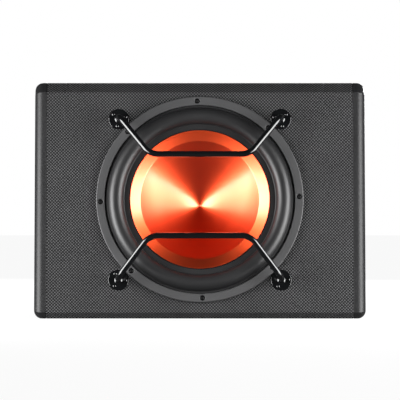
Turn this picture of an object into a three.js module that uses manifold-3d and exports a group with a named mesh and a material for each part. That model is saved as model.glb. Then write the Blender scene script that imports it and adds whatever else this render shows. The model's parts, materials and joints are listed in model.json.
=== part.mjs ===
// Powered car subwoofer: a wedge-shaped enclosure whose front leans back, a driver with a
// dished metal cone face behind two guard bars, and an amplifier recessed into the back.
// Millimetres, +Z up, the front faces -Y, the underside stands on Z = 0.

import * as THREE from 'three';
import { mergeVertices } from 'three/addons/utils/BufferGeometryUtils.js';
import Module from 'manifold-3d';

const wasm = await Module();
wasm.setup();

// Fits and facets
const fitGap = 0.3;
const roundSteps = 40;
const innerSteps = 30;
const smallSteps = 12;

// Cabinet
const cabinetWidth = 487;
const cabinetHeight = 347;
const cabinetDepth = 340;
const baffleTilt = THREE.MathUtils.degToRad(8);
const sideThickness = 18;
const sideProud = 1.5;
const sideEdgeRadius = 12;
const boardThickness = 17;
const coveringThickness = 1.2;
const upperBevel = 14;
const lowerBevel = 9;
const waddingThickness = 40;
const waddingInset = 50;
const driverLift = 1;

// Motor of the driver, from the coil outwards
const coilRadius = 25;
const formerWall = 0.6;
const windingThickness = 1.4;
const windingHeight = 24;
const poleClearance = 0.7;
const plateClearance = 1;
const plateThickness = 8;
const magnetRadius = 70;
const magnetThickness = 29.7;
const yokeThickness = 8;
const ventRadius = 8;
const bootWall = 2;
const bootOpening = 4;
const bootReach = 2;
const magnetGap = 5;
const plateStep = 2;
const yokeStep = 4;
const poleProud = 0.5;
const motorClearance = 3.2;

// Moving face of the driver, measured from its axis and from the front of the covering
const dishEdgeRadius = 87.5;
const dishRimWidth = 15.2;
const dishRimFront = 5.2;
const dishEdgeFront = -1.6;
const apexFront = -65.5;
const dishBend = 1.3;
const dishThickness = 1.3;
const coneThickness = 2;
const coneLipThickness = 1.2;
const rimGap = 0.8;
const landingStep = 0.5;
const landingWidth = 8;
const rollWidth = 24;
const surroundThickness = 1.2;
const coneTravel = 10;

// Basket, trim ring and screws
const flangeThickness = 2;
const surroundFlangeWidth = 3.4;
const ringWidth = 12.5;
const ringFront = 7.3;
const ringEdge = 1.4;
const cutoutMargin = 3;
const basketWall = 2;
const spiderRadius = 74;
const spiderLedgeWidth = 8;
const spiderThickness = 1;
const spiderWave = 1.8;
const spiderWaves = 3;
const spiderNeckFlat = 3;
const spiderEdgeFlat = 2;
const spiderEdgeSlope = 2.5;
const spiderDepth = 65;
const basketNeckGap = 4;
const windowCount = 6;
const windowInnerWidth = 44;
const windowOuterWidth = 92;
const windowStart = 10;
const windowLift = 6;
const terminalSize = new THREE.Vector3(22, 14, 7);
const terminalShare = 0.35;
const driverScrewCount = 8;
const driverScrewTurn = THREE.MathUtils.degToRad(1.5);
const screwHeadRadius = 3.7;
const screwHeadHeight = 2.8;
const screwShankRadius = 2.2;
const screwReach = 14;
const screwPoint = 3;

// Guard bars
const barRadius = 4.5;
const barHeight = 52;
const barKneeHeight = 34;
const barCornerAcross = 73;
const barCornerUp = 60;
const kneeRadius = 15;
const cornerRadius = 24;
const footRadius = 15.2;
const footThickness = 2.7;
const footClearance = 1.3;
const footEdge = 1;

// Amplifier, measured from the back of the covering
const ampWidth = 250;
const ampHeight = 160;
const ampFlange = 18;
const ampFlangeThickness = 3;
const ampWall = 2;
const ampCornerRadius = 8;
const recessDepth = 16;
const controlPlateThickness = 2;
const housingDepth = 56;
const housingWall = 2.5;
const boardGap = 6;
const circuitBoardThickness = 1.6;
const controlHeight = 9.3;
const knobRadius = 8;
const knobShaftRadius = 3;
const shaftClearance = 0.5;
const switchTravel = 4;
const openingMargin = 1;

// Controls and sockets, right of the heatsink as seen from behind
const rowTop = 46;
const rowMiddle = 4;
const rowBottom = -46;
const knobPlaces = { gain_knob: 14, crossover_knob: 44, bass_boost_knob: 74 };
const knobEdge = 1;
const knobNotchWidth = 1.6;
const knobNotchLength = 5;
const knobNotchInset = 1.5;
const shaftReach = 2;
const switchPlace = new THREE.Vector2(102, rowTop);
const switchSize = new THREE.Vector2(4, 5);
const switchHeight = 5;
const phonoPlaces = { phono_socket_left: 14, phono_socket_right: 32 };
const phonoRadius = 4.15;
const phonoHoleRadius = 1.7;
const remotePlaceX = 56;
const remoteSize = new THREE.Vector2(14, 12);
const speakerLevelPlaceX = 98;
const speakerLevelSize = new THREE.Vector2(24, 13);
const socketWall = 1.5;
const lampPlaceX = 76;
const lampRadius = 2;
const lampHeight = 3;
const terminalWidth = 44;
const terminalDepth = 20;
const terminalPlaceX = 32;
const terminalWall = 1.5;
const slotSize = 8;
const slotPitch = 13;
const slotEnd = 3;
const fusePlaceX = 92;
const fuseHolderSize = new THREE.Vector2(28, 14);
const fuseHolderHeight = 5;
const fuseSize = new THREE.Vector2(19, 5);

// Heatsink, left of the controls
const finCount = 9;
const finPitch = 11.5;
const finThickness = 2.2;
const heatsinkBase = 3;
const heatsinkLength = 136;
const heatsinkPlace = -66;

// Parts on the back of the circuit board
const transformerPlace = new THREE.Vector2(70, 20);
const transformerInner = 10;
const transformerOuter = 24;
const transformerHeight = 22;
const capacitorPlace = new THREE.Vector2(10, 20);
const capacitorRadius = 11;
const capacitorHeight = 36;

// Leads from the amplifier to the driver
const leadRadius = 1.6;
const leadSpacing = 5;
const leadClearance = 12;
const tagGap = 3;
const glandPlace = new THREE.Vector2(-40, -30);
const glandDrop = 3;
const glandReach = 14;

// Finishes
const sideVinyl = { color: 0x232324, roughness: 0.55, metalness: 0 };
const wovenVinyl = { color: 0x2e2e2f, roughness: 0.8, metalness: 0 };
const fibreboard = { color: 0xa98860, roughness: 0.9, metalness: 0 };
const fleece = { color: 0xe4e4df, roughness: 1, metalness: 0 };
const satinBlack = { color: 0x2b2b2c, roughness: 0.5, metalness: 0 };
const glossBlack = { color: 0x070707, roughness: 0.12, metalness: 0.2 };
const blackSteel = { color: 0x18181a, roughness: 0.4, metalness: 0.6 };
const blackRubber = { color: 0x161617, roughness: 0.6, metalness: 0 };
const orangeMetal = { color: 0xe24a16, roughness: 0.3, metalness: 0.9 };
const pressedPaper = { color: 0x1c1b1a, roughness: 0.95, metalness: 0 };
const plainAluminium = { color: 0xc4c6c8, roughness: 0.35, metalness: 1 };
const copperWire = { color: 0xb56a3a, roughness: 0.35, metalness: 1 };
const spiderCloth = { color: 0xb8923f, roughness: 0.95, metalness: 0 };
const zincSteel = { color: 0xa9abac, roughness: 0.4, metalness: 1 };
const ferrite = { color: 0x2c2c2f, roughness: 0.7, metalness: 0.2 };
const blackPlastic = { color: 0x141415, roughness: 0.45, metalness: 0 };
const greenBoard = { color: 0x1c5a35, roughness: 0.6, metalness: 0 };
const redPlastic = { color: 0xb3161a, roughness: 0.4, metalness: 0 };
const whitePlastic = { color: 0xe9e9e6, roughness: 0.4, metalness: 0 };
const yellowTape = { color: 0xd9a520, roughness: 0.5, metalness: 0 };
const blueLens = { color: 0x2f6bff, roughness: 0.1, metalness: 0 };

// ---- Helpers ----

function addPart(parent, name, geometry, finish) {
  const mesh = new THREE.Mesh(geometry, new THREE.MeshStandardMaterial(finish));
  mesh.name = name;
  parent.add(mesh);
  return mesh;
}

// A closed geometry as a solid that can be joined and cut.
function toSolid(geometry) {
  const bare = geometry.clone();
  bare.deleteAttribute('normal');
  bare.deleteAttribute('uv');
  const welded = mergeVertices(bare, 1e-3);
  const corners = welded.index.array;
  const triVerts = [];
  for (let i = 0; i < corners.length; i += 3) {
    const [a, b, c] = corners.slice(i, i + 3);
    if (a !== b && b !== c && c !== a) triVerts.push(a, b, c);
  }
  const vertProperties = Float32Array.from(welded.getAttribute('position').array);
  const mesh = new wasm.Mesh({ numProp: 3, vertProperties, triVerts: Uint32Array.from(triVerts) });
  return new wasm.Manifold(mesh);
}

function toGeometry(solid) {
  const mesh = solid.getMesh();
  const geometry = new THREE.BufferGeometry();
  geometry.setAttribute('position', new THREE.BufferAttribute(mesh.vertProperties, 3));
  geometry.setIndex(new THREE.BufferAttribute(mesh.triVerts, 1));
  return geometry;
}

function cut(geometry, cutters) {
  return toGeometry(cutters.reduce((solid, cutter) => solid.subtract(toSolid(cutter)), toSolid(geometry)));
}

function join(geometry, other) {
  return toGeometry(toSolid(geometry).add(toSolid(other)));
}

function common(geometry, other) {
  return toGeometry(toSolid(geometry).intersect(toSolid(other)));
}

function boxBetween(low, high) {
  const size = new THREE.Vector3().subVectors(high, low);
  const middle = new THREE.Vector3().addVectors(low, high).multiplyScalar(0.5);
  return new THREE.BoxGeometry(size.x, size.y, size.z).translate(middle.x, middle.y, middle.z);
}

// A block standing on the level "from" and ending at "to", centred on x, y.
function block(x, y, width, height, from, to) {
  return boxBetween(
    new THREE.Vector3(x - width / 2, y - height / 2, from),
    new THREE.Vector3(x + width / 2, y + height / 2, to),
  );
}

// Turns an outline of [radius, level] pairs, anticlockwise, about the Z axis.
function turned(outline, steps) {
  const points = outline.map(([radius, level]) => new THREE.Vector2(radius, level));
  if (outline[0][0] > 0) points.push(points[0].clone());
  return new THREE.LatheGeometry(points, steps).rotateX(Math.PI / 2);
}

function tube(inner, outer, from, to, steps) {
  return turned([[inner, from], [outer, from], [outer, to], [inner, to]], steps);
}

function rod(radius, from, to, steps) {
  return turned([[0, from], [radius, from], [radius, to], [0, to]], steps);
}

// Points on an arc, angles in degrees from the radius axis.
function arc(radius, level, size, fromAngle, toAngle, steps) {
  return Array.from({ length: steps + 1 }, (_, i) => {
    const angle = THREE.MathUtils.degToRad(fromAngle + ((toAngle - fromAngle) * i) / steps);
    return [radius + size * Math.cos(angle), level + size * Math.sin(angle)];
  });
}

function roundedRectangle(width, height, radius) {
  const shape = new THREE.Shape();
  const x = width / 2 - radius;
  const y = height / 2 - radius;
  shape.absarc(x, y, radius, 0, Math.PI / 2);
  shape.absarc(-x, y, radius, Math.PI / 2, Math.PI);
  shape.absarc(-x, -y, radius, Math.PI, 1.5 * Math.PI);
  shape.absarc(x, -y, radius, 1.5 * Math.PI, 2 * Math.PI);
  return shape;
}

function plate(shape, from, to) {
  const options = { depth: to - from, bevelEnabled: false, curveSegments: 4 };
  return new THREE.ExtrudeGeometry(shape, options).translate(0, 0, from);
}

// ---- Cabinet ----

const lean = Math.tan(baffleTilt);

// The side view as [depth from the foot of the front, height] points, anticlockwise.
const sideOutline = [
  new THREE.Vector2(lowerBevel, 0),
  new THREE.Vector2(cabinetDepth, 0),
  new THREE.Vector2(cabinetDepth, cabinetHeight),
  new THREE.Vector2(cabinetHeight * lean + upperBevel, cabinetHeight),
  new THREE.Vector2((cabinetHeight - upperBevel) * lean, cabinetHeight - upperBevel),
  new THREE.Vector2(lowerBevel * lean, lowerBevel),
];
const squareOutline = [
  new THREE.Vector2(0, 0),
  new THREE.Vector2(cabinetDepth, 0),
  new THREE.Vector2(cabinetDepth, cabinetHeight),
  new THREE.Vector2(cabinetHeight * lean, cabinetHeight),
];

// Moves every side of a convex outline inwards by the same distance.
function insetOutline(points, inset) {
  return points.map((point, i) => {
    const before = points[(i + points.length - 1) % points.length];
    const after = points[(i + 1) % points.length];
    const arriving = point.clone().sub(before).normalize();
    const leaving = after.clone().sub(point).normalize();
    const shift = leaving.clone().sub(arriving).multiplyScalar(inset / arriving.cross(leaving));
    return point.clone().add(shift);
  });
}

// Extrudes a side view across the cabinet, from one X to another.
const acrossCabinet = new THREE.Matrix4().makeBasis(
  new THREE.Vector3(0, 1, 0),
  new THREE.Vector3(0, 0, 1),
  new THREE.Vector3(1, 0, 0),
);
function prism(outline, hole, from, to, bevel = 0) {
  const shape = new THREE.Shape(outline);
  if (hole) shape.holes.push(new THREE.Path(hole));
  const options = {
    depth: to - from - 2 * bevel,
    bevelEnabled: bevel > 0,
    bevelThickness: bevel,
    bevelSize: bevel,
    bevelSegments: 3,
  };
  return new THREE.ExtrudeGeometry(shape, options).applyMatrix4(acrossCabinet).translate(from + bevel, 0, 0);
}

const cabinet = new THREE.Group();
const halfWidth = cabinetWidth / 2;
const innerHalfWidth = halfWidth - sideThickness - fitGap;
const boardInset = sideProud + coveringThickness + fitGap;
const cavityInset = boardInset + boardThickness;

const driver = new THREE.Group();
const driverHeight = cabinetHeight / 2 + driverLift;
driver.position.set(0, driverHeight * lean + sideProud / Math.cos(baffleTilt), driverHeight);
driver.rotation.x = Math.PI / 2 - baffleTilt;
driver.updateMatrix();

const amplifier = new THREE.Group();
amplifier.position.set(0, cabinetDepth - sideProud, cabinetHeight / 2);
amplifier.quaternion.setFromRotationMatrix(new THREE.Matrix4().makeBasis(
  new THREE.Vector3(-1, 0, 0),
  new THREE.Vector3(0, 0, 1),
  new THREE.Vector3(0, 1, 0),
));
amplifier.updateMatrix();

// Radii of the driver, each piece seated on the one inside it
const dishRimRadius = dishEdgeRadius + dishRimWidth;
const coneLipInner = dishRimRadius + rimGap;
const landingInner = coneLipInner + landingStep;
const rollInner = landingInner + landingWidth;
const rollOuter = rollInner + rollWidth;
const surroundRadius = rollOuter + surroundFlangeWidth;
const ringInner = surroundRadius + 2 * fitGap;
const ringRadius = ringInner + ringWidth;
const cutoutRadius = rollOuter + cutoutMargin;
const screwCircle = ringInner + ringWidth / 2;
const footCircle = ringRadius + footClearance + footRadius;

const driverScrewAngles = Array.from(
  { length: driverScrewCount },
  (_, i) => driverScrewTurn + (i * 2 * Math.PI) / driverScrewCount,
);

function onCircle(geometry, radius, angle) {
  return geometry.translate(radius * Math.cos(angle), radius * Math.sin(angle), 0);
}

const screwHoles = () => driverScrewAngles.map((angle) => {
  const hole = rod(screwShankRadius + fitGap, -screwReach - fitGap, 2 * ringFront, smallSteps);
  return onCircle(hole, screwCircle, angle);
});
const driverCutout = rod(cutoutRadius, -2 * boardThickness, 2 * ringFront, roundSteps);
const frontCuts = [driverCutout, ...screwHoles()].map((cutter) => cutter.applyMatrix4(driver.matrix));

const ampOpeningWidth = ampWidth + 2 * (ampWall + openingMargin);
const ampOpeningHeight = ampHeight + 2 * (ampWall + openingMargin);
const ampScrewPlaces = [-1, 1].flatMap((side) => [-1, 1].map((level) => [
  side * (ampWidth + ampFlange) / 2,
  level * (ampHeight + ampFlange) / 2,
]));
const ampScrewHoles = () => ampScrewPlaces.map(([x, y]) => {
  const hole = rod(screwShankRadius + fitGap, -screwReach - fitGap, 2 * ampFlangeThickness, smallSteps);
  return hole.translate(x, y, 0);
});
const backCuts = [
  block(0, 0, ampOpeningWidth, ampOpeningHeight, -2 * boardThickness, boardThickness),
  ...ampScrewHoles(),
].map((cutter) => cutter.applyMatrix4(amplifier.matrix));

function addSidePanel(name, side) {
  const from = side < 0 ? -halfWidth : halfWidth - 2 * sideThickness;
  const core = insetOutline(sideOutline, sideEdgeRadius);
  const full = prism(core, null, from, from + 2 * sideThickness, sideEdgeRadius);
  const outerHalf = boxBetween(
    new THREE.Vector3(side < 0 ? -halfWidth : halfWidth - sideThickness, -cabinetDepth, -cabinetHeight),
    new THREE.Vector3(side < 0 ? sideThickness - halfWidth : halfWidth, 2 * cabinetDepth, 2 * cabinetHeight),
  );
  addPart(cabinet, name, common(full, outerHalf), sideVinyl);
}
addSidePanel('left_side_panel', -1);
addSidePanel('right_side_panel', 1);

const coveringOuter = insetOutline(sideOutline, sideProud);
const coveringInner = insetOutline(sideOutline, sideProud + coveringThickness);
addPart(
  cabinet, 'woven_covering',
  cut(prism(coveringOuter, coveringInner, -innerHalfWidth, innerHalfWidth), [...frontCuts, ...backCuts]),
  wovenVinyl,
);

// The four boards are one wall round the cavity, parted level with the cavity's top and bottom.
const boardOuter = insetOutline(sideOutline, boardInset);
const boardInner = insetOutline(squareOutline, cavityInset);
const boardWall = prism(boardOuter, boardInner, -innerHalfWidth, innerHalfWidth);
const cavityTop = cabinetHeight - cavityInset;
const middleDepth = cabinetDepth / 2;
function boardBetween(nearDepth, farDepth, low, high) {
  return common(boardWall, boxBetween(
    new THREE.Vector3(-cabinetWidth, nearDepth, low),
    new THREE.Vector3(cabinetWidth, farDepth, high),
  ));
}
const frontBoard = boardBetween(-cabinetDepth, middleDepth, cavityInset + fitGap, cavityTop - fitGap);
const rearBoard = boardBetween(middleDepth, 2 * cabinetDepth, cavityInset + fitGap, cavityTop - fitGap);
addPart(cabinet, 'baffle_board', cut(frontBoard, frontCuts), fibreboard);
addPart(cabinet, 'back_board', cut(rearBoard, backCuts), fibreboard);
addPart(
  cabinet, 'top_board',
  boardBetween(-cabinetDepth, 2 * cabinetDepth, cavityTop, cabinetHeight), fibreboard,
);
addPart(cabinet, 'bottom_board', boardBetween(-cabinetDepth, 2 * cabinetDepth, 0, cavityInset), fibreboard);

// A fleece pad lies on the floor of the box, behind the driver.
const waddingFront = middleDepth - waddingInset;
const waddingBack = cabinetDepth - waddingInset;
const wadding = boxBetween(
  new THREE.Vector3(waddingInset - halfWidth, waddingFront, cavityInset + fitGap),
  new THREE.Vector3(halfWidth - waddingInset, waddingBack, cavityInset + fitGap + waddingThickness),
);
addPart(cabinet, 'acoustic_wadding', wadding, fleece);

// ---- Driver ----

// Level of the dished face at a radius: a cone that flattens towards its apex.
function dishFront(radius) {
  if (radius >= dishEdgeRadius) {
    return dishEdgeFront + ((radius - dishEdgeRadius) * (dishRimFront - dishEdgeFront)) / dishRimWidth;
  }
  return apexFront + (dishEdgeFront - apexFront) * (radius / dishEdgeRadius) ** dishBend;
}

const formerRadius = coilRadius + formerWall;
const neckRadius = formerRadius + fitGap;
const dishSteps = [0.12, 0.3, 0.5, 0.75, 1].map((share) => share * dishEdgeRadius);
const dishRadii = [0, ...dishSteps, dishRimRadius];
const dishOutline = [
  ...dishRadii.map((radius) => [radius, dishFront(radius) - dishThickness]),
  ...dishRadii.map((radius) => [radius, dishFront(radius)]).reverse(),
];
addPart(driver, 'dust_dish', turned(dishOutline, roundSteps), orangeMetal);

// The paper cone follows the back of the dish, from its neck out to a flat lip under the surround.
const flangeBack = fitGap;
const flangeFront = flangeBack + flangeThickness;
const seatLevel = flangeFront + fitGap;
const lipFront = seatLevel - fitGap;
const coneOffset = dishThickness + 1.2 * fitGap;
const coneRadii = [neckRadius, ...dishSteps.filter((radius) => radius > neckRadius + 1)];
const coneFront = coneRadii.map((radius) => [radius, dishFront(radius) - coneOffset]);
const coneBack = coneRadii.map((radius) => [radius, dishFront(radius) - coneOffset - coneThickness]);
const coneOutline = [
  ...coneBack,
  [coneLipInner + coneThickness, lipFront - coneLipThickness],
  [rollInner - fitGap, lipFront - coneLipThickness],
  [rollInner - fitGap, lipFront],
  [coneLipInner, lipFront],
  ...coneFront.reverse(),
];
addPart(driver, 'cone', turned(coneOutline, roundSteps), pressedPaper);

const rollMiddle = (rollInner + rollOuter) / 2;
const seatFront = seatLevel + surroundThickness;
const surroundOutline = [
  [surroundRadius, seatLevel],
  [surroundRadius, seatFront],
  ...arc(rollMiddle, seatFront, rollWidth / 2, 0, 180, 7),
  [landingInner, seatFront],
  [landingInner, seatLevel],
  ...arc(rollMiddle, seatLevel, rollWidth / 2 - surroundThickness, 180, 0, 5),
];
addPart(driver, 'surround', turned(surroundOutline, roundSteps), blackRubber);

const ringOutline = [
  [ringInner, seatLevel],
  [ringRadius, seatLevel],
  [ringRadius, ringFront - ringEdge],
  [ringRadius - ringEdge, ringFront],
  [ringInner + ringEdge, ringFront],
  [ringInner, ringFront - ringEdge],
];
const headHoles = driverScrewAngles.map((angle) =>
  onCircle(rod(screwHeadRadius + 2 * fitGap, 0, 2 * ringFront, smallSteps), screwCircle, angle));
addPart(driver, 'trim_ring', cut(turned(ringOutline, roundSteps), headHoles), satinBlack);

// Levels of the motor, from the spider seat back to the boot
const spiderSeat = -spiderDepth;
const seatInner = spiderRadius - spiderLedgeWidth;
const plateFront = apexFront - coneTravel - dishThickness - motorClearance;
const plateBack = plateFront - plateThickness;
const magnetFront = plateBack - fitGap;
const magnetBack = magnetFront - magnetThickness;
const yokeFront = magnetBack - fitGap;
const yokeBack = yokeFront - yokeThickness;
const windingRadius = formerRadius + fitGap + windingThickness;
const plateInner = windingRadius + plateClearance;
const magnetInner = plateInner + magnetGap;

const motorSeat = plateFront + fitGap;
const wallTop = rollOuter - 2;
const basketOutline = [
  [plateInner + basketNeckGap, motorSeat],
  [seatInner + basketWall, motorSeat],
  [seatInner + basketWall, spiderSeat - basketWall],
  [spiderRadius + 2 * basketWall, spiderSeat - basketWall],
  [wallTop + basketWall, flangeBack],
  [ringRadius - fitGap, flangeBack],
  [ringRadius - fitGap, flangeFront],
  [wallTop - basketWall, flangeFront],
  [spiderRadius + 2 * fitGap, spiderSeat],
  [seatInner, spiderSeat],
  [seatInner, motorSeat + basketWall],
  [plateInner + basketNeckGap, motorSeat + basketWall],
];
const windowOutline = new THREE.Shape([
  new THREE.Vector2(spiderRadius + windowStart, -windowInnerWidth / 2),
  new THREE.Vector2(ringRadius, -windowOuterWidth / 2),
  new THREE.Vector2(ringRadius, windowOuterWidth / 2),
  new THREE.Vector2(spiderRadius + windowStart, windowInnerWidth / 2),
]);
const windows = Array.from({ length: windowCount }, (_, i) =>
  plate(windowOutline, spiderSeat + windowLift, -boardThickness).rotateZ((i * 2 * Math.PI) / windowCount));
addPart(
  driver, 'basket',
  cut(turned(basketOutline, roundSteps), [...windows, ...screwHoles()]),
  blackSteel,
);

const formerTop = dishFront(coilRadius) - dishThickness - 2 * fitGap;
const windingMiddle = (plateFront + plateBack) / 2;
const windingFront = windingMiddle + windingHeight / 2;
const windingBack = windingMiddle - windingHeight / 2;
const former = tube(coilRadius, formerRadius, windingBack - 1, formerTop, innerSteps);
addPart(driver, 'coil_former', former, plainAluminium);
const coil = tube(formerRadius + fitGap, windingRadius, windingBack, windingFront, innerSteps);
addPart(driver, 'voice_coil', coil, copperWire);

// The spider is a corrugated cloth disc, flat where it is glued to the basket.
const spiderFlat = seatInner - spiderEdgeFlat;
const firstCrest = neckRadius + fitGap + spiderNeckFlat;
const spiderCrests = Array.from({ length: 2 * spiderWaves + 1 }, (_, i) => {
  const radius = firstCrest + ((spiderFlat - firstCrest) * i) / (2 * spiderWaves);
  return [radius, spiderSeat + fitGap + spiderThickness + (i % 2 ? -spiderWave : 0)];
});
const spiderBack = [[neckRadius + fitGap, spiderCrests[0][1]], ...spiderCrests];
const spiderEdge = spiderSeat + fitGap;
const spiderOutline = [
  ...spiderBack,
  [spiderFlat + spiderEdgeSlope, spiderEdge],
  [spiderRadius, spiderEdge],
  [spiderRadius, spiderEdge + spiderThickness],
  [spiderFlat + spiderEdgeFlat, spiderEdge + spiderThickness],
  ...spiderBack.map(([radius, level]) => [radius, level + spiderThickness]).reverse(),
];
addPart(driver, 'spider', turned(spiderOutline, innerSteps), spiderCloth);

const poleRadius = coilRadius - poleClearance;
const poleTop = plateFront + poleProud;
const topPlate = tube(plateInner, magnetRadius - plateStep, plateBack, plateFront, innerSteps);
addPart(driver, 'top_plate', topPlate, zincSteel);
addPart(driver, 'magnet', tube(magnetInner, magnetRadius, magnetBack, magnetFront, innerSteps), ferrite);
const yokeOutline = [
  [ventRadius, yokeBack],
  [magnetRadius - yokeStep, yokeBack],
  [magnetRadius - yokeStep, yokeFront],
  [poleRadius, yokeFront],
  [poleRadius, poleTop],
  [ventRadius, poleTop],
];
addPart(driver, 'yoke', turned(yokeOutline, innerSteps), zincSteel);
const bootInner = magnetRadius + 2 * fitGap;
const bootBack = yokeBack - fitGap - bootWall;
const bootOutline = [
  [ventRadius + bootOpening, bootBack],
  [bootInner + bootWall, bootBack],
  [bootInner + bootWall, plateFront - bootReach],
  [bootInner, plateFront - bootReach],
  [bootInner, yokeBack - fitGap],
  [ventRadius + bootOpening, yokeBack - fitGap],
];
addPart(driver, 'magnet_boot', turned(bootOutline, innerSteps), blackRubber);

// The terminal sits on the outside of the lowest spoke, level with the wall that carries it.
const wallLow = new THREE.Vector2(spiderRadius + 2 * basketWall, spiderSeat - basketWall);
const wallHigh = new THREE.Vector2(wallTop + basketWall, flangeBack);
const wallRun = wallHigh.clone().sub(wallLow);
const wallOut = new THREE.Vector2(wallRun.y, -wallRun.x).normalize();
const terminalPlace = wallLow.clone().lerp(wallHigh, terminalShare);
terminalPlace.addScaledVector(wallOut, fitGap + terminalSize.z / 2);
const terminal = addPart(driver, 'driver_terminal', new THREE.BoxGeometry(...terminalSize), blackPlastic);
terminal.position.set(0, -terminalPlace.x, terminalPlace.y);
terminal.rotation.x = -Math.atan2(wallRun.y, wallRun.x);

// Pan-head screw with its seat at Z = seat.
function screw(seat, steps) {
  return turned([
    [0, -screwReach],
    [screwShankRadius * 0.4, -screwReach],
    [screwShankRadius, screwPoint - screwReach],
    [screwShankRadius, seat],
    [screwHeadRadius, seat],
    [screwHeadRadius, seat + screwHeadHeight * 0.6],
    [screwHeadRadius * 0.6, seat + screwHeadHeight],
    [0, seat + screwHeadHeight],
  ], steps);
}
driverScrewAngles.forEach((angle, i) => {
  const mesh = addPart(driver, `driver_screw_${i + 1}`, screw(flangeFront + fitGap, 8), blackSteel);
  mesh.position.set(screwCircle * Math.cos(angle), screwCircle * Math.sin(angle), 0);
});

// ---- Guard bars ----

// A path of straight runs whose corners are rounded.
function roundedPath(corners, radii) {
  const path = new THREE.CurvePath();
  let last = corners[0];
  for (let i = 1; i < corners.length - 1; i += 1) {
    const towardsBefore = corners[i - 1].clone().sub(corners[i]).normalize();
    const towardsAfter = corners[i + 1].clone().sub(corners[i]).normalize();
    const halfTurn = (Math.PI - towardsBefore.angleTo(towardsAfter)) / 2;
    const setBack = radii[i - 1] * Math.tan(halfTurn);
    const start = corners[i].clone().addScaledVector(towardsBefore, setBack);
    const end = corners[i].clone().addScaledVector(towardsAfter, setBack);
    path.add(new THREE.LineCurve3(last, start));
    path.add(new THREE.QuadraticBezierCurve3(start, corners[i], end));
    last = end;
  }
  path.add(new THREE.LineCurve3(last, corners[corners.length - 1]));
  return path;
}

function pipe(path, radius, sides, steps) {
  const section = new THREE.Shape();
  section.absarc(0, 0, radius, 0, 2 * Math.PI);
  const options = { steps, extrudePath: path, bevelEnabled: false, curveSegments: sides / 2 };
  return new THREE.ExtrudeGeometry(section, options);
}

const footReach = footCircle * Math.SQRT1_2;
const footFront = fitGap + footThickness;
function addGuardBar(name, side) {
  const corners = [
    [-footReach, footReach, footFront + fitGap],
    [-footReach, footReach, barKneeHeight],
    [-barCornerAcross, barCornerUp, barHeight],
    [barCornerAcross, barCornerUp, barHeight],
    [footReach, footReach, barKneeHeight],
    [footReach, footReach, footFront + fitGap],
  ].map(([x, y, z]) => new THREE.Vector3(x, side * y, z));
  const path = roundedPath(corners, [kneeRadius, cornerRadius, cornerRadius, kneeRadius]);
  addPart(driver, name, pipe(path, barRadius, 10, 50), glossBlack);
}
addGuardBar('upper_guard_bar', 1);
addGuardBar('lower_guard_bar', -1);

const footOutline = [
  [0, fitGap],
  [footRadius, fitGap],
  [footRadius, footFront - footEdge],
  [footRadius - footEdge, footFront],
  [0, footFront],
];
for (const [name, x, y] of [
  ['upper_left_guard_foot', -1, 1],
  ['upper_right_guard_foot', 1, 1],
  ['lower_left_guard_foot', -1, -1],
  ['lower_right_guard_foot', 1, -1],
]) {
  const foot = addPart(driver, name, turned(footOutline, 20), glossBlack);
  foot.position.set(x * footReach, y * footReach, 0);
}

// ---- Amplifier ----

const flangeLevel = fitGap + ampFlangeThickness;
const plateTop = -recessDepth - fitGap;
const plateUnder = plateTop - controlPlateThickness;
const controlBase = plateTop + fitGap;
const controlTop = controlBase + controlHeight;

const bezelOpening = roundedRectangle(ampWidth, ampHeight, ampCornerRadius);
const flangeShape = roundedRectangle(ampWidth + 2 * ampFlange, ampHeight + 2 * ampFlange, ampCornerRadius);
flangeShape.holes.push(new THREE.Path(bezelOpening.getPoints(4)));
const housingWidth = ampWidth + 2 * ampWall;
const housingHeight = ampHeight + 2 * ampWall;
const wallShape = roundedRectangle(housingWidth, housingHeight, ampCornerRadius + ampWall);
wallShape.holes.push(new THREE.Path(bezelOpening.getPoints(4)));
const bezel = join(plate(flangeShape, fitGap, flangeLevel), plate(wallShape, -recessDepth, flangeLevel));
addPart(amplifier, 'amp_bezel', cut(bezel, ampScrewHoles()), blackPlastic);

ampScrewPlaces.forEach(([x, y], i) => {
  const mesh = addPart(amplifier, `amp_screw_${i + 1}`, screw(flangeLevel + fitGap, 8), blackSteel);
  mesh.position.set(x, y, 0);
});

const shaftHoles = Object.values(knobPlaces).map((x) =>
  rod(knobShaftRadius + shaftClearance, plateUnder - 1, plateTop + 1, smallSteps).translate(x, rowTop, 0));
const switchSlot = block(
  switchPlace.x, switchPlace.y + switchTravel / 2,
  switchSize.x + 2 * shaftClearance, switchSize.y + switchTravel + 2 * shaftClearance,
  plateUnder - 1, plateTop + 1,
);
const plateShape = roundedRectangle(housingWidth, housingHeight, ampCornerRadius);
const controlPlate = plate(plateShape, plateUnder, plateTop);
addPart(amplifier, 'control_plate', cut(controlPlate, [...shaftHoles, switchSlot]), plainAluminium);

// Heatsink: a comb outline pushed up and down the recess.
const finTop = controlTop - controlBase;
const combStart = (-finPitch * (finCount - 1)) / 2 - finThickness / 2;
const comb = [new THREE.Vector2(combStart, 0), new THREE.Vector2(-combStart, 0)];
for (let i = finCount - 1; i >= 0; i -= 1) {
  const finLeft = combStart + i * finPitch;
  comb.push(new THREE.Vector2(finLeft + finThickness, finTop));
  comb.push(new THREE.Vector2(finLeft, finTop));
  if (i > 0) {
    comb.push(new THREE.Vector2(finLeft, heatsinkBase));
    comb.push(new THREE.Vector2(finLeft - finPitch + finThickness, heatsinkBase));
  }
}
const heatsink = plate(new THREE.Shape(comb), -heatsinkLength / 2, heatsinkLength / 2).rotateX(Math.PI / 2);
addPart(amplifier, 'heatsink', heatsink, blackSteel).position.set(heatsinkPlace, 0, controlBase);

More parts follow.
